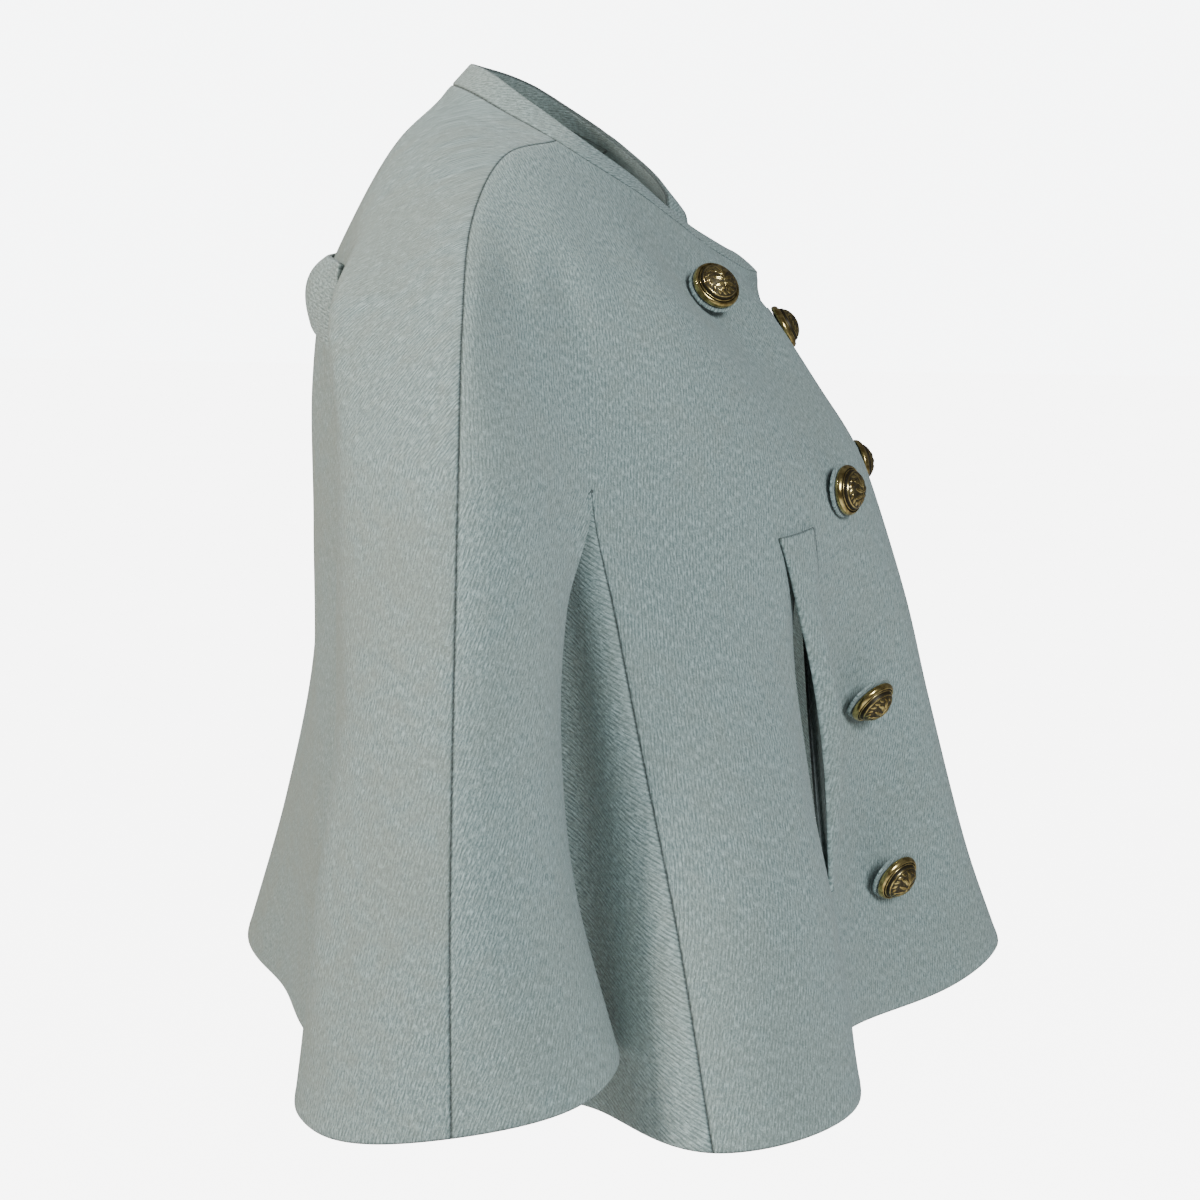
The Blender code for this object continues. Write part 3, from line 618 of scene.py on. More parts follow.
def welded(corners: np.ndarray) -> tuple[np.ndarray, np.ndarray, np.ndarray]:
    """Makes corner points one where they meet to a thousandth of a millimetre.

    Args:
        corners: Corner records, (quads, 4, channels), x, y and z first.

    Returns:
        The first record of each point, the least edge distance there, and the quads' indices.
    """
    flat = corners.reshape(-1, corners.shape[-1])
    keys = np.round(flat[:, :3] * 1000.0).astype(np.int64)
    _, first, index = np.unique(keys, axis=0, return_index=True, return_inverse=True)
    index = index.reshape(-1)
    edge = np.full(len(first), np.inf)
    np.minimum.at(edge, index, flat[:, 4])
    return flat[first], edge, index.reshape(-1, 4)


def shared_normals(points: np.ndarray, faces: np.ndarray) -> np.ndarray:
    """Unit normals at points: the sum of the cross products of their faces' diagonals.

    Args:
        points: Points, (count, 3).
        faces: Quads' indices, (quads, 4).

    Returns:
        Unit normals, (count, 3).
    """
    p = points[faces]
    across = np.cross(p[:, 2] - p[:, 0], p[:, 3] - p[:, 1])
    total = np.zeros_like(points)
    np.add.at(total, faces.reshape(-1), np.repeat(across, 4, axis=0))
    return total / np.maximum(np.linalg.norm(total, axis=1, keepdims=True), 1e-9)


def rim_of(faces: np.ndarray) -> np.ndarray:
    """The edges that only one quad has, in that quad's direction, as quad and corner numbers.

    Args:
        faces: Quads' indices, (quads, 4).

    Returns:
        Quad number and corner number of each rim edge's start, (edges, 2).
    """
    start = faces.reshape(-1)
    end = np.roll(faces, -1, axis=1).reshape(-1)
    size = int(faces.max()) + 1
    lonely = ~np.isin(start.astype(np.int64) * size + end, end.astype(np.int64) * size + start)
    number = np.flatnonzero(lonely)
    return np.stack([number // 4, number % 4], axis=1)


def make_object(name: str, points: np.ndarray, faces: list[list[int]], material: bpy.types.Material,
                grain: np.ndarray | None = None, marks: dict[str, np.ndarray] | None = None,
                sharp: float = 60.0) -> bpy.types.Object:
    """Puts a mesh of quads into the scene.

    Args:
        name: The object's name.
        points: Points, mm, (count, 3).
        faces: Each face's indices.
        material: The finish.
        grain: Cloth coordinates of each corner in the faces' order, mm, (..., 2).
        marks: Point attributes by name.
        sharp: Edges bent more than this many degrees stay sharp.

    Returns:
        The object, at the origin.
    """
    mesh = bpy.data.meshes.new(name)
    mesh.from_pydata((points * MM).tolist(), [], faces)
    mesh.update()
    if grain is not None:
        layer = mesh.uv_layers.new(name="grain")
        layer.data.foreach_set("uv", (grain * MM).reshape(-1).astype(np.float32))
    for key, values in (marks or {}).items():
        attribute = mesh.attributes.new(key, "FLOAT", "POINT")
        attribute.data.foreach_set("value", values.astype(np.float32))
    mesh.materials.append(material)
    mesh.shade_smooth()
    mesh.set_sharp_from_angle(angle=math.radians(sharp))
    made = bpy.data.objects.new(name, mesh)
    bpy.context.scene.collection.objects.link(made)
    return made


@dataclass(frozen=True)
class ClothWall:
    """How a flat sheet becomes a wall with plump edges, in mm."""

    thickness: float = 2.5
    roll_width: float = 2.4
    roll_depth: float = 0.8
    ridge_height: float = 0.22
    ridge_place: float = 5.0
    ridge_width: float = 2.6

    def roll(self, edge: np.ndarray) -> np.ndarray:
        """How far the surface lies back near an edge.

        It falls as a quarter round, depth x (1 - sqrt(1 - (1 - d / width)^2)), behind a low ridge
        over the seam's allowance, height x exp(-((d - place) / width)^2).

        Args:
            edge: Distances from the edge.

        Returns:
            Depths.
        """
        inside = 1.0 - np.clip(edge / self.roll_width, 0.0, 1.0)
        ridge = self.ridge_height * np.exp(-((edge - self.ridge_place) / self.ridge_width) ** 2)
        return self.roll_depth * (1.0 - np.sqrt(1.0 - inside ** 2)) - ridge

    def build(self, name: str, points: np.ndarray, normals: np.ndarray, edge: np.ndarray,
              faces: np.ndarray, grain: np.ndarray, material: bpy.types.Material) -> bpy.types.Object:
        """Makes the closed wall: the outer sheet, its copy moved in along the normals, and the rim.

        Neighbouring pieces meet along their rims, so that no light comes through a seam.

        Args:
            name: The object's name.
            points: Points of the sheet.
            normals: Their outward normals.
            edge: Their distances from the cut edges.
            faces: The sheet's quads.
            grain: Cloth coordinates of each corner.
            material: The finish.

        Returns:
            The wall.
        """
        rim = rim_of(faces)
        a = faces[rim[:, 0], rim[:, 1]]
        b = faces[rim[:, 0], (rim[:, 1] + 1) % 4]
        roll = self.roll(edge)
        outer = points - normals * roll[:, None]
        inner = points - normals * (self.thickness - 0.5 * np.maximum(roll, 0.0))[:, None]
        count = len(points)
        grain_a = grain[rim[:, 0], rim[:, 1]]
        grain_b = grain[rim[:, 0], (rim[:, 1] + 1) % 4]
        fold = np.array((0.0, self.thickness))
        rim_faces = np.stack([b, a, a + count, b + count], axis=1)
        rim_grain = np.stack([grain_b, grain_a, grain_a + fold, grain_b + fold], axis=1)
        all_faces = np.concatenate([faces, faces[:, ::-1] + count, rim_faces])
        all_grain = np.concatenate([grain, grain[:, ::-1], rim_grain])
        marks = {"edge": np.concatenate([edge, edge])}
        return make_object(name, np.concatenate([outer, inner]), all_faces.tolist(), material, all_grain,
                           marks)


# ------------------------------------------------------------------ the cloth of one half


@dataclass
class HalfShell:
    """One half of the jacket: its sheets, welded, with shared normals."""

    form: GarmentForm
    side: Side
    at_slit: float = 1.75
    slit: tuple[float, float] = (4.25, 7.0)
    slit_open: tuple[float, float] = (0.5, 3.6)
    slit_reach: float = 12.0
    mouth_sink: float = 7.0
    mouth_reach: float = 22.0
    mouth_shade: float = 1.2
    shade_slope: float = 0.3
    least_opening: float = 0.05
    unmarked: float = 1e3
    overlap_columns: int = 26
    button_columns: int = 20
    slit_columns: int = 16
    side_columns: int = 50
    rows_above: int = 58
    rows_below: int = 104
    band_width: float = 16.5
    band_lean: tuple[tuple[float, float, float], ...] = (
        (0.0, 0.66, 0.75), (2.5, 0.74, 0.67), (6.0, 0.86, 0.51), (9.0, 0.70, 0.71), (12.0, 0.70, 0.74))
    band_rows: int = 10
    band_round: float = 15.0
    band_least: float = 0.08

    def __post_init__(self) -> None:
        """Welds the half's sheets and finds each point's normal, depth and creases."""
        sheets = self.sheets()
        corners = [sheet.corners() for sheet in sheets]
        self.piece_of = np.concatenate([np.full(len(c), s.piece) for c, s in zip(corners, sheets)])
        joined = np.concatenate(corners)
        records, self.edge, self.faces = welded(joined)
        self.grain = joined[..., 5:7]
        self.normals = shared_normals(records[:, :3], self.faces)
        centre_back = (np.abs(records[:, 0]) < 1e-6) & (records[:, 1] > 0)
        self.normals[centre_back, 0] = 0.0
        self.normals /= np.linalg.norm(self.normals, axis=1, keepdims=True)
        height = crease_heights(records[:, :3], self.side) - records[:, 3]
        self.points = records[:, :3] + self.normals * height[:, None]

    @property
    def above(self) -> np.ndarray:
        """Sections over the underarm."""
        return clustered(self.rows_above, start=True) * UNDERARM

    @property
    def below(self) -> np.ndarray:
        """Sections under the underarm."""
        return UNDERARM + clustered(self.rows_below, start=True, end=True) * (HEM - UNDERARM)

    def front_places(self, sections: np.ndarray) -> np.ndarray:
        """Places from the free edge to the side front seam.

        Args:
            sections: The rows' sections.

        Returns:
            A row of places for each section.
        """
        free = self.form.free_edge(sections)[:, None]
        overlap = -free * (1.0 - clustered(self.overlap_columns, start=True)[:-1])
        to_slit = 1.0 + clustered(self.slit_columns, end=True)[1:] * (self.at_slit - 1.0)
        to_side = self.at_slit + clustered(self.side_columns, start=True, end=True)[1:] * (
            self.form.at_side_front - self.at_slit)
        rest = np.concatenate([clustered(self.button_columns), to_slit, to_side])
        return np.concatenate([overlap, np.broadcast_to(rest, (len(sections), len(rest)))], axis=1)

    @property
    def button_column(self) -> int:
        """The column of the button line among the front's places."""
        return self.overlap_columns + self.button_columns

    @property
    def slit_column(self) -> int:
        """The column of the pocket slit among the front's places."""
        return self.button_column + self.slit_columns

    def tuck(self, sections: np.ndarray, places: np.ndarray) -> np.ndarray:
        """How far in this half's front lies; nothing for the upper one."""
        return np.zeros(places.shape) if self.side.is_upper else self.form.tuck(sections[:, None], places)

    def mirrored(self, points: np.ndarray) -> np.ndarray:
        """Points laid out on the right, moved to this half's side."""
        return points if self.side.is_upper else points * LEFT

    def opened(self, sheet: Sheet, sections: np.ndarray) -> list[Sheet]:
        """Parts a front along the pocket slit.

        The front and rear edges move away from the slit by its two openings times
        sin(pi x share along it), and the cloth beside them less, over the slit's reach. The rear
        part sinks by the mouth's sink times the same sine, evenly less over the mouth's reach. The
        mouth's painted shade takes the edge distance below zero, where the finish paints it darkest.

        Args:
            sheet: The front below the underarm.
            sections: Its rows' sections.

        Returns:
            The part before the slit and the part behind it.
        """
        span = np.clip((sections - self.slit[0]) / (self.slit[1] - self.slit[0]), 0.0, 1.0)
        wave = np.sin(np.pi * span).round(6)[:, None]
        column = self.slit_column
        parts = []
        for columns, edge, opening in ((slice(None, column + 1), GridEdge.END, self.slit_open[0]),
                                       (slice(column, None), GridEdge.START, self.slit_open[1])):
            open_by = opening * wave
            points = sheet.points[:, columns].copy()
            away = distance_to(points, [edge])
            way = np.gradient(points, axis=1) * (-1.0 if edge is GridEdge.END else 1.0)
            way /= np.linalg.norm(way, axis=-1, keepdims=True)
            points += way * (open_by * (1.0 - smooth_step(away / self.slit_reach)))[..., None]
            # Painted shade: in the pocket's mouth the edge marks fall below zero, so the finish is darkest
            # there.
            shaded = np.minimum(away * self.shade_slope - self.mouth_shade * wave, away)
            shaded = shaded + np.where(open_by > self.least_opening, 0.0, self.unmarked)
            edges = np.minimum(sheet.edge[:, columns], shaded)
            depth = sheet.depth[:, columns]
            if edge is GridEdge.START:
                depth = depth + self.mouth_sink * wave * np.clip(1.0 - away / self.mouth_reach, 0.0, 1.0)
            parts.append(Sheet("front", points, sheet.facing, sheet.grain[:, columns], edges, depth))
        return parts

    def band(self, seam: np.ndarray, places: np.ndarray, depth: np.ndarray, facing: bool) -> Sheet:
        """The neck band: straight lines up from the neck seam, leaning in towards the neck.

        Its free end is a quarter round: the height is width x sqrt(1 - (1 - along / round)^2).

        Args:
            seam: The neck seam's points, (columns, 3).
            places: Their places.
            depth: Their depths.
            facing: Whether the grid faces outwards.

        Returns:
            The band's sheet, its top row first.
        """
        stops, inward, up = np.array(self.band_lean).T
        to_axis = -seam * (1.0, 1.0, 0.0)
        to_axis[places < 0] = (0.0, 1.0, 0.0)
        to_axis /= np.linalg.norm(to_axis, axis=1, keepdims=True)
        where = np.maximum(places, 0.0)
        lean = to_axis * np.interp(where, stops, inward)[:, None]
        lean[:, 2] += np.interp(where, stops, up)
        along = np.concatenate([[0.0], np.cumsum(np.linalg.norm(np.diff(seam, axis=0), axis=1))])
        inside = 1.0 - np.clip(along / self.band_round, 0.0, 1.0)
        height = self.band_width * np.maximum(np.sqrt(1.0 - inside ** 2), self.band_least)
        shares = (1.0 - clustered(self.band_rows, start=True, end=True))[:, None, None]
        points = seam + lean * height[:, None] * shares
        grain = np.stack(np.broadcast_arrays(along[None, :], height * (1.0 - shares[..., 0])), axis=-1)
        edge = distance_to(points, (GridEdge.START, GridEdge.TOP, GridEdge.BOTTOM))
        return Sheet("neck_band", points, facing, grain, edge, np.broadcast_to(depth, points.shape[:2]))

    def sheets(self) -> list[Sheet]:
        """Lays out the half's sheets.

        Returns:
            Sheets of the front, back, side panel and neck band.
        """
        form, faces_out = self.form, self.side.is_upper
        above, below = self.above, self.below
        sleeve_front = between(form.at_side_front, form.at_over_arm, 32)[1:]
        sleeve_back = between(form.at_over_arm, form.at_back_side, 40)
        back = between(form.at_back_side, form.at_centre_back, 58)[1:]
        under_middle = form.under_places / 2.0
        halves = (between(0.0, under_middle, 28), between(under_middle, form.under_places, 28))

        def laid(surface: Callable[..., np.ndarray], sections: np.ndarray, places: np.ndarray,
                 **options: bool) -> np.ndarray:
            """Reads a surface on a grid of sections and places, on this half's side."""
            places = np.broadcast_to(places, (len(sections), np.shape(places)[-1]))
            section = np.broadcast_to(sections[:, None], places.shape)
            return self.mirrored(surface(section, places, **options))

        def sheet(piece: str, points: np.ndarray, facing: bool, grain: np.ndarray,
                  edges: Sequence[GridEdge], depth: np.ndarray | None = None) -> Sheet:
            """A sheet whose edge distances come from the named edges."""
            return Sheet(piece, points, facing, grain, distance_to(points, edges), depth)

        made: list[Sheet] = []
        lifted = {"is_lifted": self.side.is_upper}
        # the front over the underarm, with the sleeve's front in it
        body_places = self.front_places(above)
        body_part = laid(form.front_panel, above, body_places, **lifted)
        top = np.concatenate([body_part, laid(form.sleeve_outside, above, sleeve_front)], axis=1)
        sleeve_rows = np.broadcast_to(sleeve_front, (len(above), len(sleeve_front)))
        places = np.concatenate([body_places, sleeve_rows], axis=1)
        line = self.button_column
        grain = grain_of(top, faces_out, line)
        depth = self.tuck(above, places)
        made.append(sheet("front", top, faces_out, grain, (GridEdge.START, GridEdge.TOP, GridEdge.END),
                          depth))
        # the front below it
        body_below = self.front_places(below)
        points = laid(form.front_panel, below, body_below, **lifted)
        lower = sheet("front", points, faces_out, grain_of(points, faces_out, line, grain[-1, line]),
                      (GridEdge.START, GridEdge.BOTTOM, GridEdge.END), self.tuck(below, body_below))
        made += self.opened(lower, below)
        # the sleeve's front, outside and inside
        points = laid(form.sleeve_outside, below, np.concatenate([[form.at_side_front], sleeve_front]))
        outside = grain_of(points, faces_out, points.shape[1] - 1, grain[-1, -1])
        made.append(sheet("front", points, faces_out, outside, (GridEdge.END, GridEdge.BOTTOM)))
        points = laid(form.sleeve_inside, below, halves[0])
        inside = grain_of(points, not faces_out, 0, outside[:, 0])
        made.append(sheet("front", points, not faces_out, inside,
                          (GridEdge.TOP, GridEdge.END, GridEdge.BOTTOM)))
        # the back over the underarm, with the sleeve's back in it
        top = laid(form.sleeve_outside, above, sleeve_back)
        top = np.concatenate([top, laid(form.body, above, back)], axis=1)
        grain = grain_of(top, faces_out, top.shape[1] - 1)
        made.append(sheet("back", top, faces_out, grain, (GridEdge.START, GridEdge.TOP, GridEdge.END)))
        # the back below it, from the back side seam
        points = laid(form.body, below, np.concatenate([[form.at_back_side], back]))
        last = points.shape[1] - 1
        made.append(sheet("back", points, faces_out, grain_of(points, faces_out, last, grain[-1, -1]),
                          (GridEdge.START, GridEdge.END, GridEdge.BOTTOM)))
        points = laid(form.sleeve_outside, below, sleeve_back)
        outside = grain_of(points, faces_out, 0, grain[-1, 0])
        made.append(sheet("back", points, faces_out, outside, (GridEdge.START, GridEdge.BOTTOM)))
        points = laid(form.sleeve_inside, below, halves[1])
        inside = grain_of(points, not faces_out, points.shape[1] - 1, outside[:, -1])
        made.append(sheet("back", points, not faces_out, inside,
                          (GridEdge.TOP, GridEdge.START, GridEdge.BOTTOM)))
        # the side panel
        points = laid(form.side_panel, below, np.concatenate([halves[0], halves[1][1:]]))
        made.append(sheet("side_panel", points, faces_out, grain_of(points, faces_out, points.shape[1] // 2),
                          tuple(GridEdge)))
        # the neck band on the neck seam
        round_neck = np.concatenate([sleeve_back[1:], back])
        seam = np.concatenate([made[0].points[0], laid(form.body, np.zeros(1), round_neck)[0]])
        seam_places = np.concatenate([places[0], round_neck])
        seam_depth = np.concatenate([depth[0], np.zeros(len(round_neck))])
        made.append(self.band(seam, seam_places, seam_depth, faces_out))
        return made

    def piece(self, name: str) -> tuple[np.ndarray, np.ndarray, np.ndarray, np.ndarray, np.ndarray]:
        """One piece's points, normals, edge distances, quads and corner grain.

        Args:
            name: The piece's name in the sheets.

        Returns:
            Points, normals, edge distances, quads' indices and grain.
        """
        chosen = self.piece_of == name
        used, index = np.unique(self.faces[chosen], return_inverse=True)
        return (self.points[used], self.normals[used], self.edge[used], index.reshape(-1, 4),
                self.grain[chosen])


# ------------------------------------------------------------------ finishes


Colour = tuple[float, float, float]


@dataclass
class Graph:
    """A node tree with short ways to add and join nodes."""

    tree: bpy.types.NodeTree

    def add(self, kind: str, inputs: dict[str | int, object] | None = None,
            **settings: object) -> bpy.types.Node:
        """Adds a node, sets its properties, and joins or fills its inputs.

        Args:
            kind: The node's type.
            inputs: Values or output sockets by input name or number.
            settings: The node's properties.

        Returns:
            The node.
        """
        node = self.tree.nodes.new(kind)
        for key, value in settings.items():
            setattr(node, key, value)
        for key, value in (inputs or {}).items():
            if isinstance(value, bpy.types.NodeSocket):
                self.tree.links.new(value, node.inputs[key])
            else:
                node.inputs[key].default_value = value
        return node

    def math(self, operation: str, *values: object, clamp: bool = False) -> bpy.types.NodeSocket:
        """Adds a Math node and gives back its output."""
        node = self.add("ShaderNodeMath", dict(enumerate(values)), operation=operation, use_clamp=clamp)
        return node.outputs[0]

    def ramp(self, value: object, low: float, high: float, to_low: float = 0.0,
             to_high: float = 1.0) -> bpy.types.NodeSocket:
        """Adds a smooth Map Range node and gives back its output."""
        node = self.add("ShaderNodeMapRange", {0: value, 1: low, 2: high, 3: to_low, 4: to_high},
                        interpolation_type="SMOOTHSTEP")
        return node.outputs[0]

    def mix(self, factor: object, first: object, second: object, blend: str = "MIX") -> bpy.types.NodeSocket:
        """Adds a colour Mix node and gives back its output."""
        node = self.add("ShaderNodeMix", {0: factor, 6: first, 7: second}, data_type="RGBA", blend_type=blend)
        return node.outputs[2]

    def noise(self, vector: object, scale: float, detail: float = 2.0,
              roughness: float = 0.5) -> bpy.types.NodeSocket:
        """Adds a Noise node and gives back its value."""
        node = self.add("ShaderNodeTexNoise", {"Vector": vector, "Scale": scale, "Detail": detail,
                                               "Roughness": roughness})
        return node.outputs[0]


def rgba(colour: Colour) -> tuple[float, float, float, float]:
    """A colour with full alpha."""
    return (*colour, 1.0)


def new_group(name: str, inputs: dict[str, tuple[str, object]], outputs: Sequence[str]) -> tuple[
        Graph, bpy.types.Node, bpy.types.Node]:
    """Makes a shader node group.

    Args:
        name: The group's name.
        inputs: Socket type and default value by name.
        outputs: Names of the float outputs.

    Returns:
        The group's graph, its input node and its output node.
    """
    tree = bpy.data.node_groups.new(name, "ShaderNodeTree")
    for key, (kind, value) in inputs.items():
        socket = tree.interface.new_socket(name=key, in_out="INPUT", socket_type=kind)
        if value is not None:
            socket.default_value = value
    for key in outputs:
        tree.interface.new_socket(name=key, in_out="OUTPUT", socket_type="NodeSocketFloat")
    graph = Graph(tree)
    return graph, graph.add("NodeGroupInput"), graph.add("NodeGroupOutput")


def twill_weave_group() -> bpy.types.NodeTree:
    """A twill's ribs and yarns from cloth coordinates.

    The coordinates turn by Lean and divide by Wale; a rib is 0.5 + 0.5 sin(2 pi x) with x bent by
    slow noise, cut into stitches by a second sine along it. Yarn is noise drawn out along the rib,
    so that it breaks into short light and dark dashes.

    Returns:
        The group, with outputs Rib and Yarn.
    """
    graph, given, out = new_group("twill_weave", {
        "Vector": ("NodeSocketVector", None), "Lean": ("NodeSocketFloat", 0.35),
        "Wale": ("NodeSocketFloat", 0.0022), "Wander": ("NodeSocketFloat", 0.35)}, ("Rib", "Yarn"))
    turned = graph.add("ShaderNodeVectorRotate", {"Vector": given.outputs["Vector"],
                                                  "Angle": given.outputs["Lean"]},
                       rotation_type="Z_AXIS").outputs[0]
    per = graph.math("DIVIDE", 1.0, given.outputs["Wale"])
    scaled = graph.add("ShaderNodeVectorMath", {0: turned, "Scale": per}, operation="SCALE").outputs[0]
    axes = graph.add("ShaderNodeSeparateXYZ", {0: scaled}).outputs
    bend = graph.math("SUBTRACT", graph.noise(scaled, 0.42, 2.0), 0.5)
    x = graph.math("MULTIPLY_ADD", bend, given.outputs["Wander"], axes[0])
    rib = graph.math("MULTIPLY_ADD", graph.math("SINE", graph.math("MULTIPLY", x, 2.0 * math.pi)), 0.5, 0.5)
    step = graph.math("MULTIPLY_ADD", axes[1], 1.15, graph.math("MULTIPLY", x, 0.5))
    step = graph.math("MULTIPLY_ADD", bend, 0.8, step)
    stitch = graph.math("SINE", graph.math("MULTIPLY", step, 2.0 * math.pi))
    stitch = graph.math("MULTIPLY_ADD", stitch, 0.5, 0.5)
    rib = graph.math("MULTIPLY", rib, graph.math("MULTIPLY_ADD", stitch, 0.45, 0.55))
    stretch = (2.7, 0.50, 1.0)
    drawn = graph.add("ShaderNodeVectorMath", {0: scaled, 1: stretch}, operation="MULTIPLY").outputs[0]
    yarn = graph.ramp(graph.noise(drawn, 1.0, 3.0, 0.55), 0.42, 0.66)
    graph.tree.links.new(rib, out.inputs["Rib"])
    graph.tree.links.new(yarn, out.inputs["Yarn"])
    return graph.tree


def wool_fibre_group() -> bpy.types.NodeTree:
    """Wool's mixed fibres: fine fuzz, light flecks, dark flecks and slow shade changes.

    Each is Perlin noise of the cloth coordinates at its own size, the flecks cut by a threshold.

    Returns:
        The group, with outputs Fuzz, Light, Dark and Shade.
    """
    graph, given, out = new_group("wool_fibre", {
        "Vector": ("NodeSocketVector", None), "Fineness": ("NodeSocketFloat", 1.0)},
        ("Fuzz", "Light", "Dark", "Shade"))
    fuzz_scale, light_scale, dark_scale, shade_scale, patch_scale = 1500.0, 850.0, 620.0, 11.0, 90.0
    vector = graph.add("ShaderNodeVectorMath", {0: given.outputs["Vector"],
                                                "Scale": given.outputs["Fineness"]},
                       operation="SCALE").outputs[0]
    slid = graph.add("ShaderNodeVectorMath", {0: vector, 1: (0.31, 0.17, 0.05)}, operation="ADD").outputs[0]
    graph.tree.links.new(graph.noise(vector, fuzz_scale, 3.0, 0.65), out.inputs["Fuzz"])
    light = graph.ramp(graph.noise(vector, light_scale, 2.0, 0.6), 0.56, 0.70)
    graph.tree.links.new(light, out.inputs["Light"])
    dark = graph.ramp(graph.noise(slid, dark_scale, 2.0, 0.6), 0.58, 0.76)
    graph.tree.links.new(dark, out.inputs["Dark"])
    slow = graph.math("MULTIPLY_ADD", graph.noise(slid, shade_scale, 2.0), 0.6, graph.math(
        "MULTIPLY", graph.noise(vector, patch_scale, 2.0), 0.4))
    graph.tree.links.new(slow, out.inputs["Shade"])
    return graph.tree


@dataclass(frozen=True)
class TwillFinish:
    """Heathered wool twill with a short nap.

    The mesh's edge attribute is the distance from a seam in mm. The colour darkens with painted
    shade in the seam's groove, to the groove's shade tone at 0, and with painted shade inside a
    pocket's mouth, to the mouth's shade tone of that at -1.
    """

    name: str
    lean: float
    wale: float = 0.0019
    base: Colour = (0.218, 0.290, 0.284)
    pale: Colour = (0.520, 0.650, 0.650)
    deep: Colour = (0.058, 0.090, 0.088)
    warm: Colour = (0.270, 0.290, 0.245)
    warmth: float = 0.45
    rib_strength: float = 0.34
    bump: float = 0.0004
    groove_width: float = 1.3
    groove_shade_tone: float = 0.30
    mouth_shade_tone: float = 0.10

    def build(self, weave: bpy.types.NodeTree, fibre: bpy.types.NodeTree) -> bpy.types.Material:
        """Makes the material.

        Args:
            weave: The twill group.
            fibre: The wool group.

        Returns:
            The material.
        """
        material = bpy.data.materials.new(self.name)
        material.use_nodes = True
        graph = Graph(material.node_tree)
        shader = material.node_tree.nodes["Principled BSDF"]
        grain = graph.add("ShaderNodeUVMap", uv_map="grain").outputs[0]
        twill = graph.add("ShaderNodeGroup", node_tree=weave)
        graph.tree.links.new(grain, twill.inputs["Vector"])
        twill.inputs["Lean"].default_value = math.radians(self.lean)
        twill.inputs["Wale"].default_value = self.wale
        wool = graph.add("ShaderNodeGroup", node_tree=fibre)
        graph.tree.links.new(grain, wool.inputs["Vector"])
        rib, yarn, fuzz = twill.outputs["Rib"], twill.outputs["Yarn"], wool.outputs["Fuzz"]
        woven = graph.math("MULTIPLY_ADD", rib, self.rib_strength, graph.math(
            "MULTIPLY", yarn, 1.0 - self.rib_strength))
        tone = graph.math("MULTIPLY_ADD", fuzz, 0.30, graph.math("SUBTRACT", woven, 0.02), clamp=True)
        colour = graph.mix(tone, rgba(self.deep), rgba(self.pale))
        colour = graph.mix(0.30, colour, rgba(self.base))
        shade = graph.ramp(wool.outputs["Shade"], 0.38, 0.62, 0.0, self.warmth)
        colour = graph.mix(shade, colour, graph.mix(0.5, colour, rgba(self.warm)))
        light = graph.math("MULTIPLY", wool.outputs["Light"], graph.math("MULTIPLY_ADD", yarn, 0.5, 0.35))
        colour = graph.mix(light, colour, rgba(self.pale))
        colour = graph.mix(graph.math("MULTIPLY", wool.outputs["Dark"], 0.30), colour, rgba(self.deep))
        # Painted shade: the colour darkens near seams, where shade falls in their grooves, and most inside a
        # pocket's mouth.
        edge = graph.add("ShaderNodeAttribute", attribute_name="edge",
                         attribute_type="GEOMETRY").outputs["Fac"]
        seam_shade = graph.ramp(edge, 0.0, self.groove_width, self.groove_shade_tone, 1.0)
        groove = graph.math("MULTIPLY", seam_shade, graph.ramp(edge, -1.0, 0.0, self.mouth_shade_tone, 1.0))
        grey = graph.add("ShaderNodeCombineColor", {0: groove, 1: groove, 2: groove}).outputs[0]
        colour = graph.mix(1.0, colour, grey, "MULTIPLY")
        graph.tree.links.new(colour, shader.inputs["Base Color"])
        height = graph.math("MULTIPLY_ADD", fuzz, 0.25, woven)
        bump = graph.add("ShaderNodeBump", {"Height": height, "Strength": 0.9, "Distance": self.bump})
        graph.tree.links.new(bump.outputs[0], shader.inputs["Normal"])
        rough = graph.ramp(fuzz, 0.2, 0.8, 0.82, 0.98)
        graph.tree.links.new(rough, shader.inputs["Roughness"])
        shader.inputs["Specular IOR Level"].default_value = 0.22
        shader.inputs["Sheen Weight"].default_value = 0.32
        shader.inputs["Sheen Roughness"].default_value = 0.45
        shader.inputs["Sheen Tint"].default_value = (0.80, 0.90, 0.92, 1.0)
        return material


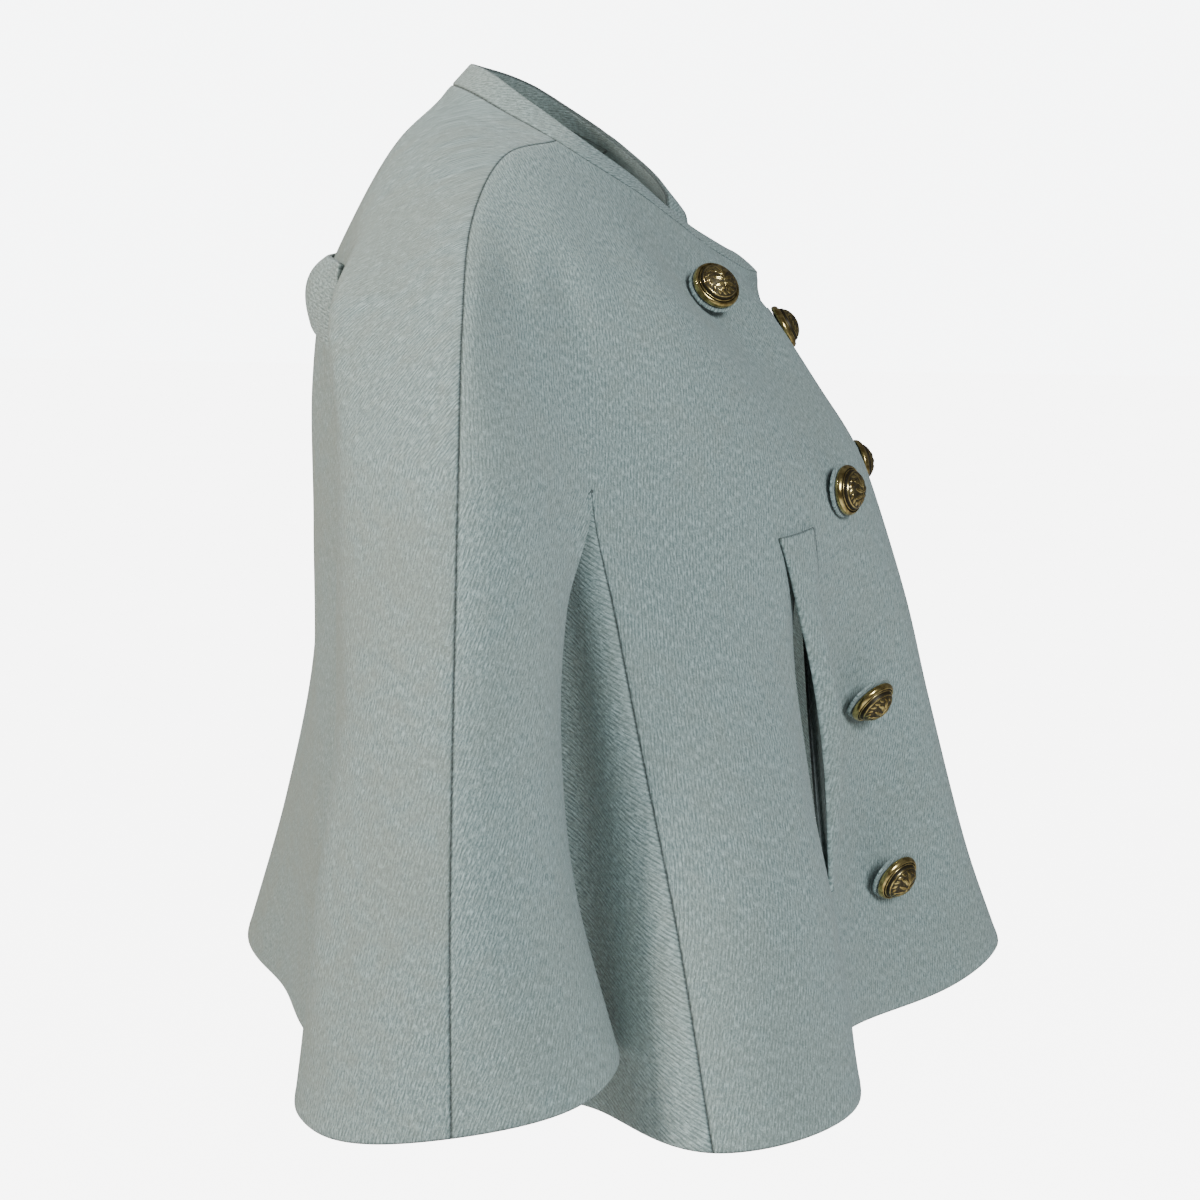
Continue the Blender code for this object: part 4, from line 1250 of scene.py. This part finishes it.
@dataclass(frozen=True)
class BrassFinish:
    """Cast brass: rubbed bright on what stands out, brown-black in the hollows."""

    name: str = "antique_brass_relief"
    bright: Colour = (0.68, 0.54, 0.22)
    worn: Colour = (0.30, 0.22, 0.08)
    dark: Colour = (0.026, 0.020, 0.010)

    def build(self) -> bpy.types.Material:
        """Makes the material.

        Returns:
            The material; the mesh's hollow attribute runs from 0, high, to 1, deep.
        """
        material = bpy.data.materials.new(self.name)
        material.use_nodes = True
        graph = Graph(material.node_tree)
        shader = material.node_tree.nodes["Principled BSDF"]
        place = graph.add("ShaderNodeTexCoord").outputs["Object"]
        hollow = graph.add("ShaderNodeAttribute", attribute_name="hollow",
                           attribute_type="GEOMETRY").outputs["Fac"]
        grime = graph.noise(place, 900.0, 3.0, 0.6)
        rubbed = graph.ramp(graph.noise(place, 260.0, 2.0), 0.35, 0.65)
        worn = graph.mix(rubbed, rgba(self.bright), rgba(self.worn))
        deep = graph.math("MULTIPLY_ADD", grime, 0.35, graph.math("SUBTRACT", hollow, 0.12))
        mask = graph.ramp(deep, 0.25, 0.75)
        graph.tree.links.new(graph.mix(mask, worn, rgba(self.dark)), shader.inputs["Base Color"])
        graph.tree.links.new(graph.ramp(mask, 0.0, 1.0, 1.0, 0.55), shader.inputs["Metallic"])
        rough = graph.math("MULTIPLY_ADD", mask, 0.30, graph.math("MULTIPLY_ADD", grime, 0.14, 0.12))
        graph.tree.links.new(rough, shader.inputs["Roughness"])
        bump = graph.add("ShaderNodeBump", {"Height": grime, "Strength": 0.25, "Distance": 0.00008})
        graph.tree.links.new(bump.outputs[0], shader.inputs["Normal"])
        return material


# ------------------------------------------------------------------ sub-assemblies


@dataclass
class Wardrobe:
    """The finishes that the pieces share."""

    weave: bpy.types.NodeTree = field(default_factory=twill_weave_group)
    fibre: bpy.types.NodeTree = field(default_factory=wool_fibre_group)

    def twill(self, finish: TwillFinish) -> bpy.types.Material:
        """Builds a cloth finish with the shared groups."""
        return finish.build(self.weave, self.fibre)


def seat(piece: bpy.types.Object, slot: str, *nodes: str) -> bpy.types.Object:
    """Seats a piece: it rides on the jacket and stands for nodes, whose frame parts it hides.

    Args:
        piece: The piece.
        slot: Not used.
        nodes: The frame's nodes that it stands for.

    Returns:
        The piece.
    """
    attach(piece, BODY)
    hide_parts(*nodes)
    LOG.info("%s: %d faces", piece.name, len(piece.data.polygons))
    return piece


@dataclass
class ClothShell:
    """The cut pieces: fronts and backs with their sleeves, side panels and neck band."""

    form: GarmentForm
    wardrobe: Wardrobe
    wall: ClothWall = field(default_factory=ClothWall)
    band_wall: ClothWall = field(default_factory=lambda: ClothWall(
        thickness=3.0, roll_width=1.9, roll_depth=1.1, ridge_height=0.0))
    front_finish: TwillFinish = TwillFinish("wool_twill_front", lean=20.0)
    # The back's larger warmth partly paints the warm light that falls on the back and sleeve back; the warm
    # patches themselves are the wool's random tone.
    back_finish: TwillFinish = TwillFinish("wool_twill_back", lean=16.0, warmth=0.8)
    side_finish: TwillFinish = TwillFinish("wool_twill_side", lean=112.0, wale=0.0023, rib_strength=0.45)
    band_finish: TwillFinish = TwillFinish("wool_twill_band", lean=62.0)
    cuts: dict[str, tuple[float, float, float]] = field(default_factory=lambda: {
        "front": (0.60, 0.66, 0.285), "back": (0.50, 0.66, 0.215), "side_panel": (0.22, 0.36, 0.066)})
    band_cut: tuple[float, float] = (0.50, 0.015)

    def build(self) -> dict[str, bpy.types.Object]:
        """Builds and dresses the pieces.

        Returns:
            The pieces by node name.
        """
        finishes = {"front": self.wardrobe.twill(self.front_finish),
                    "back": self.wardrobe.twill(self.back_finish),
                    "side_panel": self.wardrobe.twill(self.side_finish)}
        made: dict[str, bpy.types.Object] = {}
        bands: list[np.ndarray] = []
        for side in Side:
            shell = HalfShell(self.form, side)
            for name, finish in finishes.items():
                node = f"{name}_{side.value}"
                piece = self.wall.build(f"cloth_{node}", *shell.piece(name), finish)
                made[node] = seat(piece, "wool_twill", node)
            points, normals, edge, faces, grain = shell.piece("neck_band")
            depth = np.zeros((len(points), 1))
            records = np.concatenate([points, depth, edge[:, None], normals], axis=1)[faces]
            bands.append(np.concatenate([records, grain], axis=-1))
        joined = np.concatenate(bands)
        records, edge, faces = welded(joined)
        piece = self.band_wall.build("cloth_neck_band", records[:, :3], records[:, 5:8], edge, faces,
                                     joined[..., 8:10], self.wardrobe.twill(self.band_finish))
        made["neck_band"] = seat(piece, "wool_twill", "neck_band")
        return made


def pillow(name: str, base: np.ndarray, normals: np.ndarray, lift: np.ndarray, thickness: float,
           round_width: float, material: bpy.types.Material,
           free: GridEdge | None = None) -> bpy.types.Object:
    """A flat folded strip with rounded edges.

    The top is the base moved out by lift + thickness / 2 (1 + r), the underside by
    lift + thickness / 2 (1 - r), with r = sqrt(1 - (1 - d / width)^2) and d the distance from the
    nearest edge, so both meet along the edges. The edge marks are the distances from the sewn
    edges, held at a least value; the cloth finish paints shade where they are small. With a free
    edge, the line 2 mm in from the edge opposite it takes the marks 0.6 |d - 2|, a painted shade
    line along the seam, and a smooth step down the strip fades them out.

    Args:
        name: The object's name.
        base: Grid points that it lies on, mm, (rows, columns, 3), across x down outwards.
        normals: Their outward normals.
        lift: How far off the base each point lies, mm, (rows, columns).
        thickness: The strip's thickness, mm.
        round_width: How far in from its edges it is rounded, mm.
        material: The finish.
        free: The edge that gets no painted seam shade; the seam opposite it shows as a painted shade line
            that fades down.

    Returns:
        The object.
    """
    edge = distance_to(base, tuple(GridEdge))
    inside = 1.0 - np.clip(edge / round_width, 0.0, 1.0)
    half = thickness / 2.0 * np.sqrt(1.0 - inside ** 2)
    middle = base + normals * (lift + thickness / 2.0)[..., None]
    top, under = middle + normals * half[..., None], middle - normals * half[..., None]
    grain = grain_of(base, True, base.shape[1] // 2)
    # Painted shade: small edge marks darken the finish along the sewn edges and along a line by the seam.
    least_mark, line_place, line_slope, fade_height = 0.15, 2.0, 0.6, 1.6
    marks = np.maximum(distance_to(base, [e for e in GridEdge if e is not free]), least_mark)
    if free is not None:
        sewn = distance_to(base, [GridEdge.END if free is GridEdge.START else GridEdge.START])
        fade = fade_height * smooth_step(np.linspace(-0.4, 1.3, len(base)))[:, None]
        marks = np.minimum(marks, np.abs(sewn - line_place) * line_slope + fade)
    records = [np.concatenate([side, np.zeros_like(edge)[..., None], marks[..., None], grain], axis=-1)
               for side in (top, under)]
    quads = [np.stack([r[:-1, :-1], r[:-1, 1:], r[1:, 1:], r[1:, :-1]], axis=2).reshape(-1, 4, 7)
             for r in records]
    corners = np.concatenate([quads[0], quads[1][:, ::-1]])
    points, least, faces = welded(corners)
    return make_object(name, points[:, :3], faces.tolist(), material, corners[..., 5:7], {"edge": least})


@dataclass
class WeltPockets:
    """The vertical welts: sewn along the front edge and both ends, the rear edge bowed open."""

    form: GarmentForm
    wardrobe: Wardrobe
    sections: tuple[float, float] = (4.13, 7.12)
    seam: tuple[float, float] = (1.56, 1.63)
    width: tuple[float, float] = (34.0, 14.0)
    bow: float = 5.0
    puff: float = 10.0
    bow_place: float = 1.3
    puff_place: float = 0.75
    thickness: float = 3.0
    lift: float = 0.45
    rows: int = 96
    columns: int = 16
    cut: tuple[float, float] = (0.027, 0.205)
    finish: TwillFinish = TwillFinish("wool_twill_welt", lean=14.0)

    def build(self) -> list[bpy.types.Object]:
        """Builds both welts over the pocket slits.

        The welt's points are the front's at section s(t) and place seam(t) + x width(t) / scale(t),
        moved out by lift + sin(pi t^1.3) (bow x + puff sin(pi x^0.75)), t down and x across it.

        Returns:
            The welts.
        """
        material = self.wardrobe.twill(self.finish)
        share = clustered(self.rows, True, True)
        across = clustered(self.columns, True, True)
        section = self.sections[0] + (self.sections[1] - self.sections[0]) * share
        seam = self.seam[0] + (self.seam[1] - self.seam[0]) * share
        width = self.width[1] + (self.width[0] - self.width[1]) * (1.0 - share) ** 1.5
        step = 0.15
        scale = np.linalg.norm(self.form.on_front(section, seam + step)
                               - self.form.on_front(section, seam - step), axis=-1) / (2.0 * step)
        places = seam[:, None] + across * (width / scale)[:, None]
        rows = np.broadcast_to(section[:, None], places.shape)
        base = self.form.on_front(rows, places)
        swell = self.bow * across + self.puff * np.sin(np.pi * across ** self.puff_place)
        lift = self.lift + np.sin(np.pi * share ** self.bow_place)[:, None] * swell
        made = []
        for side in Side:
            points, up = base, lift
            if side is Side.LEFT:
                points, up = (base * LEFT)[:, ::-1], (lift - self.form.tuck(rows, places))[:, ::-1]
            piece = pillow(f"cloth_welt_{side.value}", points, outward_normals(points, True), up,
                           self.thickness, 1.6, material,
                           GridEdge.START if side is Side.LEFT else GridEdge.END)
            node = f"welt_{side.value}"
            made.append(seat(piece, "wool_twill", node))
        return made


@dataclass
class BackBelt:
    """The half belt, puffed over the upper back, its ends at the back side seams."""

    form: GarmentForm
    wardrobe: Wardrobe
    end: float = 9.2
    top: tuple[float, float] = (2.57, 0.08)
    bottom: tuple[float, float] = (3.22, 0.52)
    puff: float = 7.5
    thickness: float = 3.0
    lift: float = 0.45
    rows: int = 26
    columns: int = 120
    cut: tuple[float, float] = (0.32, 0.055)
    finish: TwillFinish = TwillFinish("wool_twill_belt", lean=96.0, wale=0.0024)

    def build(self) -> bpy.types.Object:
        """Builds the belt.

        Its points are the back's at section edge + drop a^2 and place 12 - (12 - end) |a|, moved out
        by lift + puff sin(pi r) (1 - a^4), a from -1 to 1 across and r down it.

        Returns:
            The belt.
        """
        half = clustered(self.columns // 2, False, True)
        across = np.concatenate([-half[::-1], half[1:]])
        down = clustered(self.rows, True, True)[:, None]
        section = ((1.0 - down) * (self.top[0] + self.top[1] * across ** 2)
                   + down * (self.bottom[0] + self.bottom[1] * across ** 2))
        centre = self.form.at_centre_back
        place = np.broadcast_to(centre - (centre - self.end) * np.abs(across), section.shape)
        base = self.form.body(section, place)
        base[:, across > 0] *= LEFT
        lift = self.lift + self.puff * np.sin(np.pi * down) * (1.0 - across ** 4)
        piece = pillow("cloth_back_belt", base, outward_normals(base, True), lift, self.thickness, 1.7,
                       self.wardrobe.twill(self.finish))
        seat(piece, "wool_twill", "back_belt")
        return piece


@dataclass(frozen=True)
class Leaf:
    """One leaf of the sprig on a button, in mm and degrees on its face."""

    at: tuple[float, float]
    turn: float
    length: float
    width: float

    def height(self, x: np.ndarray, y: np.ndarray) -> np.ndarray:
        """A lens with a sunk midrib: (1 - v^2 - u^2)^0.5 less a narrow groove along v = 0.

        Args:
            x: Across the face.
            y: Up the face.

        Returns:
            Heights from 0 to 1.
        """
        turn = math.radians(self.turn)
        along = (x - self.at[0]) * math.cos(turn) + (y - self.at[1]) * math.sin(turn)
        beside = -(x - self.at[0]) * math.sin(turn) + (y - self.at[1]) * math.cos(turn)
        u = along / self.length * 2.0 - 1.0
        v = beside / (self.width * np.maximum(1.0 - u ** 2, 1e-3) ** 0.7)
        inside = (np.abs(u) < 1.0) & (np.abs(v) < 1.0)
        veins = 0.16 * np.abs(np.sin((along - np.abs(beside)) * 4.2))
        body = np.sqrt(np.maximum(1.0 - v ** 2, 0.0)) * (1.0 - 0.45 * np.exp(-(beside / 0.16) ** 2)) - veins
        return np.where(inside, np.maximum(body, 0.0), 0.0)


@dataclass
class DomedButtons:
    """Eight domed buttons with a leafy sprig, each on a cut cloth disc."""

    wardrobe: Wardrobe
    names: tuple[str, ...] = ("r1", "r2", "r3", "r4", "l1", "l2", "l3", "l4")
    dome_radius: float = 10.7
    dome_top: float = 11.2
    dome_sagitta: float = 5.1
    dome_rings: int = 44
    relief: float = 0.5
    angles: int = 168
    mean_height: float = 4.154
    ground_height: float = 0.04
    ground_hollow: float = 0.62
    margin_height: float = 0.14
    margin_width: float = 0.20
    grooves: tuple[tuple[float, float, float], ...] = ((10.85, 0.16, 1.2), (11.8, 0.22, 1.3))
    hidden_rings: int = 8
    hidden_hollow: float = 0.9
    ring_radius: float = 10.1
    sprig_radius: float = 9.6
    disc_radius: float = 14.9
    disc_wall: float = 1.9
    disc_top: float = 0.25
    disc_curl: float = 0.5
    disc_angles: int = 120
    disc_rag: tuple[tuple[int, float, float], ...] = ((17, 0.010, 1.0), (41, 0.008, 2.3), (29, 0.006, -1.0))
    rim: tuple[tuple[float, float], ...] = (
        (10.76, 5.75), (10.84, 5.2), (10.95, 4.9), (11.1, 5.0), (11.3, 5.15), (11.5, 5.0), (11.62, 4.6),
        (11.7, 4.0), (11.85, 3.85), (12.0, 4.05), (12.15, 4.45), (12.4, 4.62), (12.7, 4.55), (13.1, 4.2),
        (13.5, 3.7), (13.8, 3.2), (13.95, 2.7), (14.0, 2.1), (13.95, 1.6), (13.7, 1.15), (13.3, 0.85),
        (12.4, 0.7), (8.0, 0.65), (5.0, 0.62), (3.0, 0.6), (2.7, 0.5), (2.6, 0.35))
    brass: BrassFinish = BrassFinish()
    felt: TwillFinish = TwillFinish("wool_twill_disc", lean=40.0, wale=0.0019, rib_strength=0.3, bump=0.0007)
    leaves: tuple[Leaf, ...] = (
        Leaf((0.0, 3.4), 90.0, 5.2, 1.25),
        Leaf((0.2, 1.2), 52.0, 5.4, 1.2), Leaf((-0.2, 1.2), 128.0, 5.4, 1.2),
        Leaf((0.3, -1.4), 22.0, 6.2, 1.25), Leaf((-0.3, -1.4), 158.0, 6.2, 1.25),
        Leaf((0.3, -3.6), -8.0, 5.8, 1.15), Leaf((-0.3, -3.6), 188.0, 5.8, 1.15),
        Leaf((0.4, -5.0), -42.0, 4.2, 1.0), Leaf((-0.4, -5.0), 222.0, 4.2, 1.0),
        Leaf((2.6, 3.8), 28.0, 3.2, 0.8), Leaf((-2.6, 3.8), 152.0, 3.2, 0.8)) + tuple(
        Leaf((7.7 * math.cos(turn), 7.7 * math.sin(turn)), math.degrees(turn) + 68.0, 3.0, 0.62)
        for turn in (math.tau * step / 17 for step in range(17)))

    def profile(self) -> tuple[np.ndarray, np.ndarray]:
        """The button's half outline from its top to the foot of its shank.

        The dome is an arc of a sphere. Round it run a fine ring, a groove and a slanted polished
        band that turns over the edge to the flat back and the shank.

        Returns:
            Radii and heights, mm.
        """
        r = np.linspace(0.0, self.dome_radius, self.dome_rings)
        ball = (self.dome_radius ** 2 + self.dome_sagitta ** 2) / (2.0 * self.dome_sagitta)
        z = self.dome_top - (ball - np.sqrt(ball ** 2 - r ** 2))
        rim_r, rim_z = np.array(self.rim).T
        return np.concatenate([r, rim_r]), np.concatenate([z, rim_z])

    def face_relief(self, radius: np.ndarray, angle: np.ndarray) -> np.ndarray:
        """The relief on the button's front, from 0, ground, to 1, highest.

        Args:
            radius: Distances from the axis, mm.
            angle: Angles round it.

        Returns:
            Relief heights.
        """
        x, y = radius * np.cos(angle), radius * np.sin(angle)
        stem = np.exp(-((x - 0.35 * np.sin(y * 0.55)) / 0.34) ** 2) * ((y > -7.6) & (y < 4.0)) * 0.75
        sprig = np.maximum.reduce([leaf.height(x, y) for leaf in self.leaves] + [stem])
        ring = 0.7 * np.exp(-((radius - self.ring_radius) / 0.3) ** 2)
        sprig = np.where(radius < self.sprig_radius, sprig, 0.0)
        return np.maximum(sprig, ring)

    def stance(self, node: str) -> tuple[np.ndarray, np.ndarray]:
        """Finds where the frame's button stands and how it is turned.

        Its axis is the direction in which the node's points spread least, towards the dome, and
        its foot lies the outline's mean height behind their middle.

        Args:
            node: The frame's node.

        Returns:
            The foot, and the button's side, up and axis as rows.
        """
        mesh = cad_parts[node].data
        points = np.empty(len(mesh.vertices) * 3)
        mesh.vertices.foreach_get("co", points)
        points = np.unique(np.round(points.reshape(-1, 3) / MM, 2), axis=0)
        centre = points.mean(axis=0)
        axis = np.linalg.svd(points - centre, full_matrices=False)[2][2]
        reach = (points - centre) @ axis
        axis = axis * np.sign(reach[np.argmax(np.abs(reach))])
        up = np.array((0.0, 0.0, 1.0)) - axis * axis[2]
        up /= np.linalg.norm(up)
        return centre - axis * self.mean_height, np.array((np.cross(up, axis), up, axis))

    def build_button(self, name: str, material: bpy.types.Material) -> bpy.types.Object:
        """Builds one button where the frame's node stands.

        The surface is the outline turned about the axis, with the relief added to the dome's
        height.

        Args:
            name: Which button.
            material: The finish.

        Returns:
            The button.
        """
        node = f"button_{name}"
        foot, (side, up, axis) = self.stance(node)
        radii, heights = self.profile()
        turn = np.linspace(0.0, 2.0 * math.pi, self.angles, endpoint=False)
        radius, angle = np.meshgrid(radii[1:], turn, indexing="ij")
        raised = self.face_relief(radius, angle)
        on_dome = (np.arange(1, len(radii)) < self.dome_rings)[:, None]
        height = heights[1:, None] + np.where(on_dome, self.relief * raised, 0.0)
        ring = (foot + height[..., None] * axis
                + radius[..., None] * (np.cos(angle)[..., None] * side + np.sin(angle)[..., None] * up))
        margin = np.exp(-((raised - self.margin_height) / self.margin_width) ** 2)
        on_face = np.where(raised < self.ground_height, self.ground_hollow, margin)
        grooves = [depth * np.exp(-((radius - at) / width) ** 2) for at, width, depth in self.grooves]
        hollow = np.maximum.reduce([np.where(on_dome, on_face, 0.0)] + grooves)
        hollow[len(radii) - self.hidden_rings:] = self.hidden_hollow
        count, turns = ring.shape[0], self.angles
        middle_relief = float(self.face_relief(np.zeros(1), np.zeros(1))[0])
        top = foot + axis * (heights[0] + self.relief * middle_relief)
        all_points = np.concatenate([ring.reshape(-1, 3), top[None], foot[None] + axis * heights[-1]])
        index = np.arange(count * turns).reshape(count, turns)
        following = np.roll(index, -1, axis=1)
        quads = np.stack([index[:-1], index[1:], following[1:], following[:-1]], axis=-1).reshape(-1, 4)
        faces = quads.tolist()
        faces += np.stack([np.full(turns, count * turns), index[0], following[0]], axis=-1).tolist()
        faces += np.stack([np.full(turns, count * turns + 1), following[-1], index[-1]], axis=-1).tolist()
        marks = np.concatenate([hollow.reshape(-1), [0.2, self.hidden_hollow]])
        made = make_object(f"brass_{node}", all_points, faces, material, None, {"hollow": marks}, 75.0)
        return seat(made, "antique_brass", node)

    def build_disc(self, name: str, seed: int, material: bpy.types.Material) -> bpy.types.Object:
        """Builds the cut disc close behind a button, its rim a little ragged.

        A point at radius r and angle a lies at the button's foot plus r (cos a side + sin a up),
        its two faces at the top's height and a wall under it, rounded together at the rim. Both
        curl towards the cloth by curl x share^4.

        Args:
            name: Which button.
            seed: Which rag of the rim.
            material: The finish.

        Returns:
            The disc.
        """
        foot, (side, up, axis) = self.stance(f"button_{name}")
        turn = np.linspace(0.0, 2.0 * math.pi, self.disc_angles, endpoint=False)
        rag = 1.0 + sum(size * np.sin(turn * waves + shift * seed) for waves, size, shift in self.disc_rag)
        shares = np.array((0.001, 0.25, 0.5, 0.72, 0.86, 0.94, 0.98, 1.0))[:, None]
        radius = self.disc_radius * shares * np.where(shares > 0.9, rag, 1.0)
        round_off = 1.0 - np.sqrt(np.maximum(1.0 - (shares / 1.001) ** 14, 0.0))
        curl = self.disc_curl * shares ** 4
        upper = self.disc_top - curl - 0.3 * self.disc_wall * round_off
        lower = self.disc_top - self.disc_wall - curl + 0.3 * self.disc_wall * round_off
        plane = np.stack([radius * np.cos(turn), radius * np.sin(turn)], axis=-1)
        flat = foot + plane @ np.array((side, up))
        rings = np.concatenate([flat + upper[..., None] * axis, (flat + lower[..., None] * axis)[::-1]])
        plane = np.concatenate([plane, plane[::-1]])
        count, turns = rings.shape[:2]
        index = np.arange(count * turns).reshape(count, turns)
        following = np.roll(index, -1, axis=1)
        quads = np.stack([index[:-1], index[1:], following[1:], following[:-1]], axis=-1).reshape(-1, 4)
        caps = [index[0].tolist(), index[-1][::-1].tolist()]
        grain = plane.reshape(-1, 2)[np.concatenate([quads.reshape(-1), index[0], index[-1][::-1]])]
        node = f"button_backing_{name}"
        made = make_object(f"cloth_{node}", rings.reshape(-1, 3), quads.tolist() + caps, material, grain,
                           {"edge": np.full(count * turns, 2.0)}, 50.0)
        return seat(made, "wool_twill", node)

    def build(self) -> tuple[list[bpy.types.Object], list[bpy.types.Object]]:
        """Builds the discs and the buttons.

        Returns:
            The discs, and the buttons.
        """
        felt, brass = self.wardrobe.twill(self.felt), self.brass.build()
        discs = [self.build_disc(name, seed, felt) for seed, name in enumerate(self.names, start=1)]
        return discs, [self.build_button(name, brass) for name in self.names]


# ------------------------------------------------------------------ stage


@dataclass
class Stage:
    """A pale floor, soft light and the camera."""

    floor_height: float = -1.42
    floor_size: float = 30.0
    camera_place: tuple[float, float, float] = (-1.17991, -0.21868, -0.08)
    heading: float = 10.5
    pitch: float = 11.2
    lens: float = 60.81
    sensor: float = 36.0
    surround: float = 0.15
    surround_seen: float = 7.4
    floor_glow: float = 7.4

    def floor(self) -> bpy.types.Object:
        """Builds the floor: a level square."""
        half = self.floor_size / 2.0
        mesh = bpy.data.meshes.new("floor")
        corners = [(-half, -half), (half, -half), (half, half), (-half, half)]
        mesh.from_pydata([(x, y, self.floor_height) for x, y in corners], [], [(0, 1, 2, 3)])
        material = bpy.data.materials.new("pale_floor")
        material.use_nodes = True
        graph = Graph(material.node_tree)
        shader = material.node_tree.nodes["Principled BSDF"]
        place = graph.add("ShaderNodeTexCoord").outputs["Object"]
        colour = graph.mix(graph.noise(place, 3.0), (0.90, 0.90, 0.90, 1.0), (0.93, 0.93, 0.93, 1.0))
        graph.tree.links.new(colour, shader.inputs["Base Color"])
        graph.tree.links.new(colour, shader.inputs["Emission Color"])
        seen = graph.add("ShaderNodeLightPath").outputs["Is Camera Ray"]
        glow = graph.math("MULTIPLY", seen, self.floor_glow)
        graph.tree.links.new(glow, shader.inputs["Emission Strength"])
        shader.inputs["Roughness"].default_value = 0.9
        mesh.materials.append(material)
        made = bpy.data.objects.new("floor", mesh)
        bpy.context.scene.collection.objects.link(made)
        return made

    def lamp(self, name: str, place: tuple[float, float, float], size: float, power: float,
             colour: Colour) -> bpy.types.Object:
        """Builds a square soft light that looks at the jacket's middle.

        Args:
            name: The light's name.
            place: Where it stands, m.
            size: Its side, m.
            power: Its power, W.
            colour: Its colour.

        Returns:
            The light.
        """
        data = bpy.data.lights.new(name, "AREA")
        data.size = size
        data.energy = power
        data.color = colour
        made = bpy.data.objects.new(name, data)
        bpy.context.scene.collection.objects.link(made)
        self.aim(made, np.array(place), np.array((0.0, 0.0, -0.3)) - np.array(place))
        return made

    @staticmethod
    def aim(thing: bpy.types.Object, place: np.ndarray, forward: np.ndarray) -> None:
        """Puts a thing at a place so that its -Z looks along forward and its top is up."""
        forward = forward / np.linalg.norm(forward)
        right = np.cross(forward, (0.0, 0.0, 1.0))
        right /= np.linalg.norm(right)
        matrix = np.eye(4)
        matrix[:3, 0], matrix[:3, 1] = right, np.cross(right, forward)
        matrix[:3, 2], matrix[:3, 3] = -forward, place
        thing.matrix_world = Matrix(matrix.tolist())

    def camera(self) -> bpy.types.Object:
        """Builds the camera at the photograph's view."""
        data = bpy.data.cameras.new("camera")
        data.lens = self.lens
        data.sensor_width = self.sensor
        data.clip_end = 60.0
        made = bpy.data.objects.new("camera", data)
        bpy.context.scene.collection.objects.link(made)
        heading, pitch = math.radians(self.heading), math.radians(self.pitch)
        forward = np.array((math.cos(heading) * math.cos(pitch), math.sin(heading) * math.cos(pitch),
                            -math.sin(pitch)))
        self.aim(made, np.array(self.camera_place), forward)
        bpy.context.scene.camera = made
        return made

    def world(self) -> None:
        """Sets an even pale surround."""
        world = bpy.data.worlds.new("studio")
        world.use_nodes = True
        graph = Graph(world.node_tree)
        seen = graph.add("ShaderNodeLightPath").outputs["Is Camera Ray"]
        node = world.node_tree.nodes["Background"]
        node.inputs[0].default_value = (0.95, 0.97, 0.98, 1.0)
        graph.tree.links.new(graph.ramp(seen, 0.0, 1.0, self.surround, self.surround_seen), node.inputs[1])
        bpy.context.scene.world = world

    def build(self) -> None:
        """Builds floor, surround, lights and camera."""
        self.floor()
        self.world()
        self.lamp("rear_key", (-1.25, 1.74, 1.25), 0.4, 76.0, (1.0, 0.93, 0.85))
        self.lamp("front_key", (-2.0, -1.25, 0.75), 0.7, 56.0, (0.94, 0.99, 1.0))
        self.lamp("back", (0.5, 2.4, 0.3), 1.6, 10.0, (1.0, 0.60, 0.30))
        self.lamp("over_floor", (0.0, 0.0, 3.2), 4.0, 60.0, (1.0, 1.0, 1.0))
        self.camera()
        LOG.info("stage: floor, four lights and camera")


def write_sizes() -> None:
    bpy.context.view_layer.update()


def main() -> None:
    """Builds the jacket's sub-assemblies in order and sets the stage."""
    logging.basicConfig(level=logging.INFO, format="%(name)s: %(message)s")
    form, wardrobe = GarmentForm(), Wardrobe()
    shell = ClothShell(form, wardrobe)
    cloth = shell.build()
    welts = WeltPockets(form, wardrobe).build()
    belt = BackBelt(form, wardrobe).build()
    discs, buttons = DomedButtons(wardrobe).build()
    Stage().build()
    write_sizes()
    dressed = [*cloth.values(), *welts, belt, *discs, *buttons]
    LOG.info("jacket dressed: %d pieces", len(dressed))


if __name__ == "__main__":
    main()
